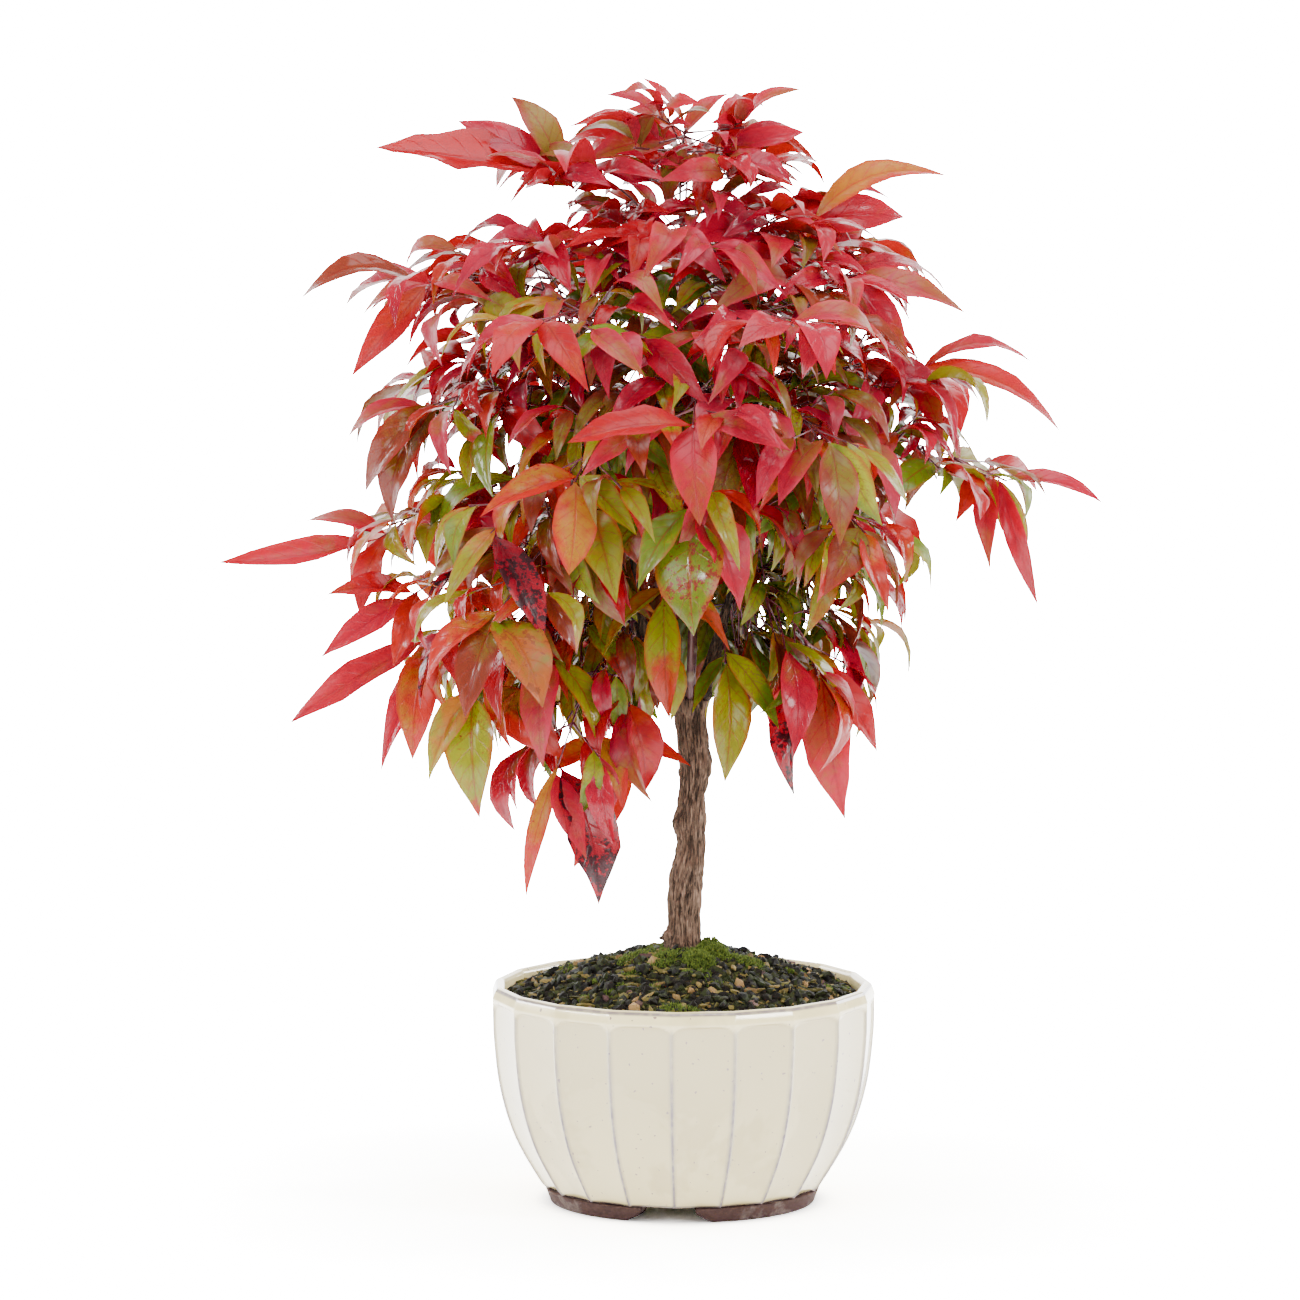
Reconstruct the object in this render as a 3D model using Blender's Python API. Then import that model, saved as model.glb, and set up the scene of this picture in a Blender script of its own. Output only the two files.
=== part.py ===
"""A heavenly bamboo grown as a bonsai, in a round fluted pot on three feet.

Metres, +Z up. The origin is on the ground, under the middle of the whole plant's box.
The front of the plant faces -Y. Bearings are degrees round the pot's axis, from +X
(right) through +Y (back), so 180 is left and 270 is the front.
"""

import math
import random

import bpy
from mathutils import Matrix, Vector
from mathutils.bvhtree import BVHTree

UP = Vector((0, 0, 1))
FRONT = Vector((0, -1, 0))
SEAT_GAP = 0.0003  # between pieces that touch

# The pot's axis stands to the right and in front of the origin, because the crown
# reaches further to the left and to the back.
POT_AXIS = Vector((0.0094, -0.0096, 0.0))

# Pot
RIM_RADIUS = 0.0802
POT_HEIGHT = 0.0915
LIP_WIDTH = 0.0055
LIP_OUTER_DROP = 0.0014  # from the top of the lip to its outer edge
LIP_INNER_DROP = 0.0008
LIP_CREST = 0.0008  # the lip is highest this far outside its middle
FLUTES = 19
FLUTE_DEPTH = 0.0016  # the middle of a flute lies this much inside the ridges' circle
FLUTE_BEARING = 266.6  # of the ridge nearest the front
FLUTE_TOP = 0.0855  # above this the rim is plain
FLUTE_FADE = 0.006  # a flute runs out over this height
WALL = 0.005
FOOT_TOP_RADIUS = 0.0573
FOOT_BOTTOM_RADIUS = 0.055
FOOT_WIDTH = 0.0105
FOOT_HEIGHT = 0.0062
FEET = 3
FOOT_LEVELS = 3
FOOT_STEPS = 8
NOTCH_BEARING = 263.7  # of the gap between two feet that faces the front
NOTCH_HALF_BOTTOM = 16.7  # half its angle
NOTCH_HALF_TOP = 8.9
DRAIN_RADIUS = 0.006
BOWL_BOTTOM = FOOT_HEIGHT + SEAT_GAP
FLOOR = 0.012  # of the bowl's inside
FLOOR_RADIUS = 0.0530
# How the bowl swells: height and radius of the ridges, from the foot to the rim.
BOWL_PROFILE = (
    (BOWL_BOTTOM, 0.0575),
    (0.0110, 0.0611),
    (0.0285, 0.0708),
    (0.0485, 0.0770),
    (0.0697, 0.0797),
    (FLUTE_TOP, 0.0801),
)
INNER_GAP = 0.0009  # between the wall and the soil

# Soil and moss
SOIL_EDGE = 0.0855  # height where the soil meets the wall
SOIL_TOP = 0.1055
SOIL_FLAT_RADIUS = 0.0105  # of the level patch that the trunk stands on
SOIL_RADIUS = RIM_RADIUS - LIP_WIDTH - 0.0012
SOIL_FALL = 1.2  # power of the mound's curve
SOIL_STEPS = 24
SOIL_RISE = 0.0008  # of the grit, outside the moss
SOIL_LUMP = 0.0014
LUMP_SPACING = 0.036
LUMP_PHASE = 0.8
LUMP_FADE = 0.011  # lumps rise over this distance from the moss and from the wall
SOIL_RINGS = (0.058, 0.044, 0.032)  # radii of its rings between the wall and the moss
MOSS_INNER = 0.0098
MOSS_OUTER = 0.0205
MOSS_THICKNESS = 0.0036
MOSS_GAP = 0.0004  # under the moss
MOSS_OUTER_SLOPE = 0.0004
MOSS_INNER_SLOPE = 0.0008
ROUND_STEPS = 18

# Trunk, from the ground cut to the fork: height, sideways place and radius.
TRUNK_SIDES = 12
TRUNK_SECTIONS = (
    (SOIL_TOP + SEAT_GAP, 0.0003, 0.0090),
    (0.1085, 0.0005, 0.0077),
    (0.1130, 0.0008, 0.0067),
    (0.1216, 0.0007, 0.0069),
    (0.1333, 0.0013, 0.0069),
    (0.1500, 0.0036, 0.0064),
    (0.1590, 0.0031, 0.0066),
    (0.1690, 0.0042, 0.0057),
    (0.1827, 0.0050, 0.0067),
    (0.2010, 0.0034, 0.0065),
    (0.2095, 0.0031, 0.0079),
)
TRUNK_LOBE = 0.035  # depth of its lobes, as a share of the radius
TRUNK_LOBES = 3
LOBE_TURN = 0.9  # of the lobes from one section to the next, in radians
FORK = TRUNK_SECTIONS[-1][0] + SEAT_GAP

# Limbs: root radius, tip radius and the places that the limb passes through.
LIMB_SIDES = 6
LIMB_STEPS = 3  # between two places
LIMB_LEAD = 0.002  # a limb leaves the fork upright for this far
LIMBS = {
    "bough_left": (
        0.0031,
        0.0015,
        ((-0.0013, 0.0002, FORK), (-0.0170, -0.0020, 0.2410), (-0.0200, 0.0, 0.2840),
         (-0.0140, 0.0030, 0.3450)),
    ),
    "bough_right": (
        0.0027,
        0.0014,
        ((0.0073, -0.0012, FORK), (0.0125, -0.0030, 0.2280), (0.0220, -0.0050, 0.2670),
         (0.0300, 0.0, 0.3350)),
    ),
    "cane_centre": (
        0.0022,
        0.0012,
        ((0.0037, 0.0050, FORK), (0.0045, 0.0080, 0.2500), (0.0030, 0.0070, 0.3300),
         (-0.0010, 0.0040, 0.4130)),
    ),
    "cane_front": (
        0.0020,
        0.0012,
        ((0.0028, -0.0050, FORK), (0.0040, -0.0090, 0.2500), (0.0070, -0.0080, 0.3200),
         (0.0080, -0.0060, 0.3740)),
    ),
}
# Limbs that leave another limb: its name, the height and bearing where they leave it.
BRANCHES = {
    "cane_left": ("bough_left", 0.2640, 160, 0.0018, 0.0011,
                  ((-0.0320, 0.0060, 0.2900), (-0.0430, 0.0100, 0.3700))),
    "cane_back": ("cane_centre", 0.2400, 84, 0.0018, 0.0011,
                  ((0.0070, 0.0230, 0.2680), (0.0120, 0.0400, 0.3480))),
}

SHARP_EDGE = 35  # degrees between two faces from which their edge looks sharp

# Foliage
SEED = 41
STEM_RADIUS = 0.0008
TWIG_RADIUS = 0.0007
STEM_STEPS = 3
TWIG_SIDES = 3
LEAD_OUT = 0.0030  # a stem leaves its limb squarely for this far
ARCH = 0.12  # rise of a stem, as a share of its length
LEAF_THICKNESS = 0.0009
LEAF_NECK = 0.00036  # thickness at the root
LEAF_WIDTH = 0.42  # of the leaf's length
LEAF_WIDEST = 0.4  # where it is widest, as a share of its length from the root
LEAF_MIDDLE = 0.45  # where its midrib is thickest
LEAN_OUT = 0.7  # how far a leaf's face turns outwards, beside 1 for upwards
LEAN_FRONT = 0.8  # the same for the outline's leaves, which face the front
LEAF_FOLD = 0.28  # rise of the edges beside the midrib, as a share of the half width
LEAF_BOW = 0.11  # rise of the middle above the line from root to tip
LEAF_LOOSE = 0.45  # most that chance turns its face
LEAF_OVERLAP = 0.3  # leaves of one spray may share space over this share of their length
ROOT_SINK = 0.0003
JOINT_STEPS = (0.0006, 0.0040, 0.0054, 0.0068)  # where leaflets sit, back from a stalk's tip
CLEARANCE = 0.0007  # round a leaf or twig, to another mass or a limb
TRIES = 7
SHRINK = 0.035  # of a leaf, from one try to the next
TURNS = (0, 9, -9, 18, -18, 27, -27)  # of a leaf, from one try to the next
TILTS = (0, 0, 0, -8, 8, -14, 14)
SWINGS = (0, 12, -12, 24, -24, 36, -36, 50, -50)  # of a stem
PINNA_LENGTH = 0.027
PINNA_SPREAD = 58
PINNA_PLACES = ((), (0.58,), (0.44, 0.72))  # along the stem, by the number of pairs
PINNA_TURN = 7  # of a pinna, from one try to the next
PINNA_LIFT = 5
PINNA_SHRINK = 0.06
LEAFLET_SPREAD = 66
LOWEST_LEAF = 0.116
SIDE_LEAFLET = 0.86  # length beside the end leaflet's

# Colour and roughness of each finish
FINISHES = {
    "glaze": ((0.76, 0.72, 0.62), 0.18),
    "clay": ((0.17, 0.085, 0.07), 0.85),
    "soil": ((0.055, 0.045, 0.03), 0.95),
    "moss": ((0.09, 0.16, 0.02), 0.95),
    "bark": ((0.23, 0.16, 0.11), 0.9),
    "cane": ((0.06, 0.02, 0.02), 0.6),
    "crimson": ((0.48, 0.03, 0.05), 0.35),
    "scarlet": ((0.72, 0.03, 0.02), 0.35),
    "orange": ((0.62, 0.13, 0.03), 0.35),
    "bronze": ((0.30, 0.08, 0.03), 0.35),
    "olive": ((0.24, 0.20, 0.03), 0.35),
    "green": ((0.12, 0.20, 0.02), 0.35),
}

# Each spray of foliage: the limb that bears it, the height where it leaves that limb,
# the bearing, reach and height of its end node from the pot's axis, its pairs of
# pinnae, the length and pitch of its leaflets, and its tint.
SPRAYS = {
    "spray_top": ("cane_centre", 0.416, 300, 0.003, 0.4470, 1, 0.036, 20, "crimson"),
    "spray_top_right": ("cane_centre", 0.406, 345, 0.019, 0.4370, 1, 0.034, -5, "crimson"),
    "spray_top_left": ("cane_centre", 0.398, 181, 0.056, 0.4300, 1, 0.044, 5, "crimson"),
    "spray_top_back": ("cane_centre", 0.402, 84, 0.050, 0.4340, 1, 0.046, 5, "scarlet"),
    "spray_top_front": ("cane_front", 0.377, 262, 0.046, 0.4080, 1, 0.040, -20, "bronze"),
    "spray_upper_right": ("cane_centre", 0.388, 352, 0.054, 0.4080, 1, 0.044, 0, "scarlet"),
    "spray_crest_right": ("cane_front", 0.368, 340, 0.076, 0.3880, 1, 0.046, -22, "crimson"),
    "spray_crest_left": ("cane_centre", 0.378, 207, 0.066, 0.4000, 1, 0.042, -12, "crimson"),
    "spray_upper_left": ("cane_left", 0.372, 182, 0.109, 0.3830, 1, 0.044, -22, "crimson"),
    "spray_upper_back_right": ("cane_centre", 0.380, 42, 0.092, 0.3930, 1, 0.046, -15, "crimson"),
    "spray_upper_back": ("cane_back", 0.350, 90, 0.094, 0.3820, 1, 0.046, -18, "scarlet"),
    "spray_upper_back_left": ("cane_left", 0.362, 136, 0.096, 0.3880, 1, 0.046, -15, "crimson"),
    "spray_upper_front_left": ("bough_left", 0.347, 238, 0.109, 0.3740, 1, 0.046, -25, "bronze"),
    "spray_upper_front_right": ("cane_front", 0.358, 294, 0.108, 0.3740, 1, 0.044, -25, "crimson"),
    "spray_right_arm": ("bough_right", 0.337, 4, 0.098, 0.3450, 1, 0.046, -18, "crimson"),
    "spray_far_right": ("bough_right", 0.318, 356, 0.134, 0.3020, 2, 0.042, -30, "crimson"),
    "spray_left_fall": ("cane_left", 0.338, 188, 0.107, 0.3330, 1, 0.044, -40, "scarlet"),
    "spray_front_heart": ("cane_front", 0.340, 272, 0.106, 0.3340, 1, 0.044, -30, "crimson"),
    "spray_back_right_arm": ("bough_right", 0.324, 38, 0.120, 0.3380, 1, 0.046, -28, "crimson"),
    "spray_back_arm": ("cane_back", 0.332, 78, 0.112, 0.3240, 1, 0.046, -32, "scarlet"),
    "spray_back_left_arm": ("cane_left", 0.350, 146, 0.122, 0.3320, 1, 0.046, -28, "crimson"),
    "spray_front_left": ("bough_left", 0.326, 244, 0.100, 0.3100, 1, 0.042, -45, "orange"),
    "spray_front_right": ("bough_right", 0.328, 303, 0.108, 0.3260, 1, 0.044, -45, "bronze"),
    "spray_far_left": ("cane_left", 0.300, 181, 0.126, 0.2770, 1, 0.044, -30, "scarlet"),
    "spray_left_low": ("bough_left", 0.276, 196, 0.118, 0.2560, 1, 0.040, -35, "orange"),
    "spray_back_left_low": ("bough_left", 0.292, 150, 0.120, 0.2760, 1, 0.046, -42, "bronze"),
    "spray_back_low": ("cane_back", 0.300, 104, 0.112, 0.2720, 1, 0.046, -42, "olive"),
    "spray_back_right_low": ("bough_right", 0.294, 56, 0.118, 0.2780, 1, 0.046, -42, "bronze"),
    "spray_front_shield": ("cane_front", 0.306, 272, 0.094, 0.2980, 1, 0.044, -55, "green"),
    "spray_front_left_low": ("bough_left", 0.310, 226, 0.112, 0.2880, 1, 0.044, -50, "olive"),
    "spray_front_right_low": ("bough_right", 0.302, 313, 0.108, 0.2880, 1, 0.042, -50, "green"),
    "spray_right_low": ("bough_right", 0.278, 8, 0.068, 0.2700, 1, 0.042, -50, "olive"),
    "spray_skirt_left": ("bough_left", 0.252, 188, 0.108, 0.2360, 1, 0.046, -50, "orange"),
    "spray_skirt_olive": ("bough_left", 0.244, 207, 0.097, 0.2180, 1, 0.046, -65, "olive"),
    "spray_pendant_left": ("bough_left", 0.237, 228, 0.078, 0.1870, 1, 0.044, -68, "scarlet"),
    "spray_pendant_front": ("bough_left", 0.230, 226, 0.035, 0.1940, 0, 0.044, -60, "orange"),
    "spray_pendant_right": ("bough_right", 0.256, 338, 0.062, 0.2240, 1, 0.046, -65, "crimson"),
    "spray_fork_front": ("bough_right", 0.242, 306, 0.030, 0.2280, 0, 0.040, -70, "green"),
    "spray_trunk_leaf": ("cane_front", 0.272, 258, 0.038, 0.2580, 0, 0.044, -70, "olive"),
    "spray_mottled": ("bough_left", 0.288, 229, 0.116, 0.2540, 1, 0.046, -50, "bronze"),
    "spray_skirt_right": ("bough_right", 0.264, 30, 0.070, 0.2380, 1, 0.044, -55, "olive"),
    "spray_skirt_back_right": ("bough_right", 0.250, 64, 0.088, 0.2200, 1, 0.044, -62, "green"),
    "spray_skirt_back_left": ("bough_left", 0.246, 142, 0.092, 0.2160, 1, 0.044, -62, "orange"),
    "spray_inner_left": ("bough_left", 0.318, 262, 0.056, 0.3360, 1, 0.042, -45, "green"),
    "spray_inner_right": ("bough_right", 0.310, 322, 0.058, 0.3080, 1, 0.042, -50, "olive"),
    "spray_skirt_back": ("cane_back", 0.262, 108, 0.088, 0.2100, 1, 0.044, -65, "green"),
}

# End leaflets that draw the crown's outline: bearing, pitch and length of each.
OUTLINE = {
    "spray_top": ((204, 48, 0.030), (24, 40, 0.027), (197, -12, 0.045), (262, -55, 0.040)),
    "spray_top_right": ((351, 16, 0.034), (333, -18, 0.036), (252, -42, 0.034)),
    "spray_top_left": ((181, 8, 0.072), (168, 24, 0.052), (140, 48, 0.040)),
    "spray_upper_right": ((355, 20, 0.060), (22, 2, 0.046), (80, 15, 0.036)),
    "spray_crest_right": ((352, -17, 0.048), (318, -46, 0.048), (25, -10, 0.048)),
    "spray_upper_left": ((180, -4, 0.050), (198, -48, 0.050), (150, -15, 0.044)),
    "spray_right_arm": ((12, 4, 0.050), (350, -20, 0.068), (300, -42, 0.040)),
    "spray_far_right": ((2, -13, 0.042), (345, -72, 0.056), (262, -62, 0.042), (50, -58, 0.042)),
    "spray_left_fall": ((172, -18, 0.036), (190, -50, 0.046), (210, -66, 0.056)),
    "spray_front_heart": ((192, -6, 0.052), (276, -58, 0.046), (345, -15, 0.042)),
    "spray_front_left": ((262, -66, 0.040), (197, -20, 0.044), (330, -40, 0.036)),
    "spray_front_right": ((285, -68, 0.044), (340, -55, 0.042), (220, -45, 0.036)),
    "spray_far_left": ((180, -8, 0.068), (160, 6, 0.038), (225, -64, 0.038)),
    "spray_left_low": ((183, -34, 0.044), (168, -2, 0.038), (235, -60, 0.034)),
    "spray_front_shield": ((272, -68, 0.052), (318, -60, 0.048), (215, -50, 0.042)),
    "spray_front_left_low": ((325, -58, 0.050), (215, -50, 0.040), (165, -40, 0.040)),
    "spray_skirt_left": ((181, -31, 0.066), (240, -72, 0.052), (192, -68, 0.066)),
    "spray_skirt_olive": ((285, -78, 0.052), (200, -60, 0.044), (340, -40, 0.048)),
    "spray_pendant_left": ((300, -52, 0.042), (325, -70, 0.060), (188, -76, 0.058)),
    "spray_pendant_front": ((186, -18, 0.036), (358, -24, 0.030), (196, -68, 0.060)),
    "spray_pendant_right": ((318, -78, 0.062), (352, -55, 0.044), (236, -73, 0.057)),
    "spray_fork_front": ((268, -78, 0.050), (190, -60, 0.028), (330, -50, 0.040)),
    "spray_trunk_leaf": ((280, -76, 0.052), (200, -45, 0.040), (345, -45, 0.038)),
    "spray_mottled": ((312, -42, 0.052), (230, -62, 0.046), (180, -45, 0.044)),
}


def turned(bearing, pitch=0.0):
    """The unit direction at a bearing and a pitch above level, both in degrees."""
    level = math.cos(math.radians(pitch))
    angle = math.radians(bearing)
    return Vector((level * math.cos(angle), level * math.sin(angle), math.sin(math.radians(pitch))))


def clean_scene():
    for item in list(bpy.data.objects):
        bpy.data.objects.remove(item, do_unlink=True)


def finish(name):
    """The material of one of the finishes, made once."""
    if name in bpy.data.materials:
        return bpy.data.materials[name]
    colour, roughness = FINISHES[name]
    material = bpy.data.materials.new(name)
    material.use_nodes = True
    shader = material.node_tree.nodes["Principled BSDF"]
    shader.inputs["Base Color"].default_value = (*colour, 1.0)
    shader.inputs["Roughness"].default_value = roughness
    material.diffuse_color = (*colour, 1.0)
    return material


def add_piece(name, verts, faces, look, collection=None, smooth=False):
    """A mesh object from points in the plant's frame, whose Z axis is the pot's."""
    mesh = bpy.data.meshes.new(name)
    mesh.from_pydata(verts, [], faces)
    mesh.materials.append(finish(look))
    if smooth:
        mesh.shade_smooth()
        mesh.set_sharp_from_angle(angle=math.radians(SHARP_EDGE))
    piece = bpy.data.objects.new(name, mesh)
    piece.location = POT_AXIS
    (collection or bpy.context.scene.collection).objects.link(piece)
    return piece


def ring_faces(rings, count, closed):
    """Quads between neighbouring rings of count points. closed joins the last to the first."""
    faces = []
    for i in range(rings if closed else rings - 1):
        below, above = i * count, (i + 1) % rings * count
        for k in range(count):
            after = (k + 1) % count
            faces.append((below + k, below + after, above + after, above + k))
    return faces


def tube(points, radii, sides):
    """A closed tube through the points: its own points and faces, wound outwards."""
    last = len(points) - 1
    verts = []
    across = None
    for i, (point, radius) in enumerate(zip(points, radii)):
        along = (points[min(i + 1, last)] - points[max(i - 1, 0)]).normalized()
        across = along.orthogonal() if across is None else across
        across = (across - along * across.dot(along)).normalized()
        over = along.cross(across)
        for k in range(sides):
            angle = math.tau * k / sides
            verts.append(point + (across * math.cos(angle) + over * math.sin(angle)) * radius)
    faces = ring_faces(last + 1, sides, closed=False)
    faces.append(tuple(reversed(range(sides))))
    faces.append(tuple(last * sides + k for k in range(sides)))
    return verts, faces


# Pot


def bowl_radius(ridge_radius, height, angle_share):
    """Radius of the outside, where angle_share runs from 0 on a ridge to 1 in mid flute."""
    fade = min(1.0, max(0.0, (FLUTE_TOP - height) / FLUTE_FADE))
    return ridge_radius - FLUTE_DEPTH * angle_share * fade


def add_bowl():
    """The glazed bowl: one closed loop of rings, up the outside, over the lip and down inside."""
    count = FLUTES * 2
    start = math.radians(FLUTE_BEARING)
    outside = [(z, r, 1.0) for z, r in BOWL_PROFILE]
    lip_mid = RIM_RADIUS - LIP_WIDTH / 2
    lip = [(POT_HEIGHT - LIP_OUTER_DROP, RIM_RADIUS, 0.0), (POT_HEIGHT, lip_mid + LIP_CREST, 0.0),
           (POT_HEIGHT - LIP_INNER_DROP, RIM_RADIUS - LIP_WIDTH, 0.0)]
    inside = [(z, r - WALL - FLUTE_DEPTH / 2, 0.0) for z, r in reversed(BOWL_PROFILE[2:-1])]
    floor = [(FLOOR, FLOOR_RADIUS, 0.0), (FLOOR, DRAIN_RADIUS, 0.0),
             (BOWL_BOTTOM, DRAIN_RADIUS, 0.0)]
    verts = []
    rings = outside + lip + inside + floor
    for height, radius, fluted in rings:
        for k in range(count):
            angle = start + math.tau * k / count
            reach = bowl_radius(radius, height, k % 2) if fluted else radius
            verts.append((reach * math.cos(angle), reach * math.sin(angle), height))
    add_piece("pot_bowl", verts, ring_faces(len(rings), count, closed=True), "glaze", smooth=True)


def add_feet():
    """Three arcs of the foot ring, with hollowed ends, under the bowl."""
    for foot in range(FEET):
        middle = NOTCH_BEARING + (foot + 0.5) * 360 / FEET
        verts = []
        for step in range(FOOT_STEPS + 1):
            for inner in (False, True):
                for level in range(FOOT_LEVELS):
                    share = level / (FOOT_LEVELS - 1)
                    notch = NOTCH_HALF_TOP + (NOTCH_HALF_BOTTOM - NOTCH_HALF_TOP) * (1 - share) ** 2
                    half = 180 / FEET - notch
                    angle = math.radians(middle + half * (2 * step / FOOT_STEPS - 1))
                    radius = FOOT_BOTTOM_RADIUS + (FOOT_TOP_RADIUS - FOOT_BOTTOM_RADIUS) * share
                    radius -= FOOT_WIDTH if inner else 0.0
                    height = FOOT_HEIGHT * share
                    verts.append((radius * math.cos(angle), radius * math.sin(angle), height))
        section = 2 * FOOT_LEVELS
        outside = list(range(FOOT_LEVELS))
        inside = list(range(FOOT_LEVELS, section))
        around = outside + inside[::-1]
        faces = []
        for step in range(FOOT_STEPS):
            a, b = step * section, (step + 1) * section
            for here, after in zip(around, around[1:] + around[:1]):
                faces.append((a + here, b + here, b + after, a + after))
        end = FOOT_STEPS * section
        for level in range(FOOT_LEVELS - 1):
            corners = (level, level + 1, inside[level + 1], inside[level])
            faces.append(corners)
            faces.append(tuple(end + corner for corner in reversed(corners)))
        add_piece(f"pot_foot_{foot + 1}", verts, faces, "clay")


# Soil and moss


def soil_height(radius):
    """The mound: level under the trunk, then falling to the wall."""
    share = max(0.0, (radius - SOIL_FLAT_RADIUS) / (SOIL_RADIUS - SOIL_FLAT_RADIUS))
    return SOIL_EDGE + (SOIL_TOP - SOIL_EDGE) * (1 - share**SOIL_FALL)


def soil_lump(place):
    """How far the grit heaps up at a place, beside the plain mound."""
    radius = math.hypot(place[0], place[1])
    fade = min(1.0, (radius - MOSS_OUTER) / LUMP_FADE, (SOIL_RADIUS - radius) / LUMP_FADE)
    across = math.sin(math.tau * place[0] / LUMP_SPACING + LUMP_PHASE)
    back = math.cos(math.tau * place[1] / LUMP_SPACING)
    return max(0.0, fade) * (SOIL_RISE + SOIL_LUMP * across * back)


def inside_radius(height):
    """Radius of the soil where the bowl's profile has this height."""
    return dict(BOWL_PROFILE)[height] - WALL - FLUTE_DEPTH / 2 - INNER_GAP


def lathe(rings, count):
    """Points of rings given as height and radius, turned about the axis."""
    verts = []
    for height, radius in rings:
        for k in range(count):
            angle = math.tau * k / count
            verts.append((radius * math.cos(angle), radius * math.sin(angle), height))
    return verts


def add_soil():
    rings = [(FLOOR + SEAT_GAP, FLOOR_RADIUS - INNER_GAP)]
    rings += [(z, inside_radius(z)) for z, _ in BOWL_PROFILE[2:-1]]
    rings += [(SOIL_EDGE, SOIL_RADIUS)]
    rings += [(soil_height(r), r) for r in (*SOIL_RINGS, MOSS_OUTER, SOIL_FLAT_RADIUS)]
    count = SOIL_STEPS
    faces = ring_faces(len(rings), count, closed=False)
    top = (len(rings) - 1) * count
    faces.append(tuple(reversed(range(count))))
    faces.append(tuple(top + k for k in range(count)))
    lumpy = [(x, y, z + soil_lump((x, y)) if z > SOIL_EDGE else z)
             for x, y, z in lathe(rings, count)]
    add_piece("soil_mound", lumpy, faces, "soil", smooth=True)


def add_moss():
    """A cushion of moss round the foot of the trunk, lying on the soil."""
    middle = (MOSS_INNER + MOSS_OUTER) / 2
    rings = [
        (SOIL_TOP + MOSS_GAP, MOSS_INNER),
        (SOIL_TOP + MOSS_GAP, SOIL_FLAT_RADIUS),
        (soil_height(MOSS_OUTER) + MOSS_GAP, MOSS_OUTER),
        (soil_height(MOSS_OUTER) + MOSS_THICKNESS / 2, MOSS_OUTER - MOSS_OUTER_SLOPE),
        (soil_height(middle) + MOSS_THICKNESS, middle),
        (SOIL_TOP + MOSS_THICKNESS / 2, MOSS_INNER + MOSS_INNER_SLOPE),
    ]
    faces = ring_faces(len(rings), ROUND_STEPS, closed=True)
    add_piece("moss_cushion", lathe(rings, ROUND_STEPS), faces, "moss", smooth=True)


# Trunk and limbs


def smooth_path(places, steps):
    """Points of a smooth curve through the places, steps to each stretch."""
    places = [Vector(p) for p in places]
    path = []
    for i in range(len(places) - 1):
        p1, p2 = places[i], places[i + 1]
        p0 = places[i - 1] if i else p1 * 2 - p2
        p3 = places[i + 2] if i + 2 < len(places) else p2 * 2 - p1
        for k in range(steps):
            t = k / steps
            path.append(
                (p1 * 2 + (p2 - p0) * t + (p0 * 2 - p1 * 5 + p2 * 4 - p3) * t**2
                 + (p1 * 3 - p0 - p2 * 3 + p3) * t**3) / 2
            )
    path.append(places[-1])
    return path


def limb_at(limb, height):
    """Centre and radius of a limb at a height, and its direction there."""
    points, radii = limb
    for i in range(len(points) - 1):
        low, high = points[i], points[i + 1]
        if height <= high.z or i == len(points) - 2:
            share = min(1.0, max(0.0, (height - low.z) / (high.z - low.z)))
            along = (high - low).normalized()
            return low.lerp(high, share), radii[i] + (radii[i + 1] - radii[i]) * share, along
    raise ValueError("a limb has at least two points")


def leave(limb, height, bearing, own_radius):
    """Where a stem starts beside a limb, 0.3 mm clear, and which way it sets off."""
    centre, radius, along = limb_at(limb, height)
    if height >= limb[0][-1].z:
        return limb[0][-1] + along * SEAT_GAP, along
    out = turned(bearing)
    out = (out - along * out.dot(along)).normalized()
    return centre + out * (radius + SEAT_GAP), out


def tapered(count, root, tip):
    return [root + (tip - root) * i / (count - 1) for i in range(count)]


def limb_paths():
    """Every limb's points and radii, by name."""
    limbs = {}
    for name, (root, tip, places) in LIMBS.items():
        path = smooth_path(places, LIMB_STEPS)
        path.insert(1, path[0] + UP * LIMB_LEAD)
        limbs[name] = (path, tapered(len(path), root, tip))
    for name, (parent, height, bearing, root, tip, places) in BRANCHES.items():
        start, out = leave(limbs[parent], height, bearing, root)
        path = smooth_path([start + out * LEAD_OUT, *places], LIMB_STEPS)
        path.insert(0, start)
        limbs[name] = (path, tapered(len(path), root, tip))
    return limbs


def add_trunk():
    """The trunk, with a slightly lobed section like its furrowed bark."""
    verts = []
    for i, (height, across, radius) in enumerate(TRUNK_SECTIONS):
        for k in range(TRUNK_SIDES):
            angle = math.tau * k / TRUNK_SIDES
            lobe = 1 + TRUNK_LOBE * math.cos(TRUNK_LOBES * angle + LOBE_TURN * i)
            verts.append((across + radius * lobe * math.cos(angle), radius * lobe * math.sin(angle),
                          height))
    faces = ring_faces(len(TRUNK_SECTIONS), TRUNK_SIDES, closed=False)
    top = (len(TRUNK_SECTIONS) - 1) * TRUNK_SIDES
    faces.append(tuple(reversed(range(TRUNK_SIDES))))
    faces.append(tuple(top + k for k in range(TRUNK_SIDES)))
    return add_piece("trunk", verts, faces, "bark", smooth=True)


# Foliage


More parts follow.
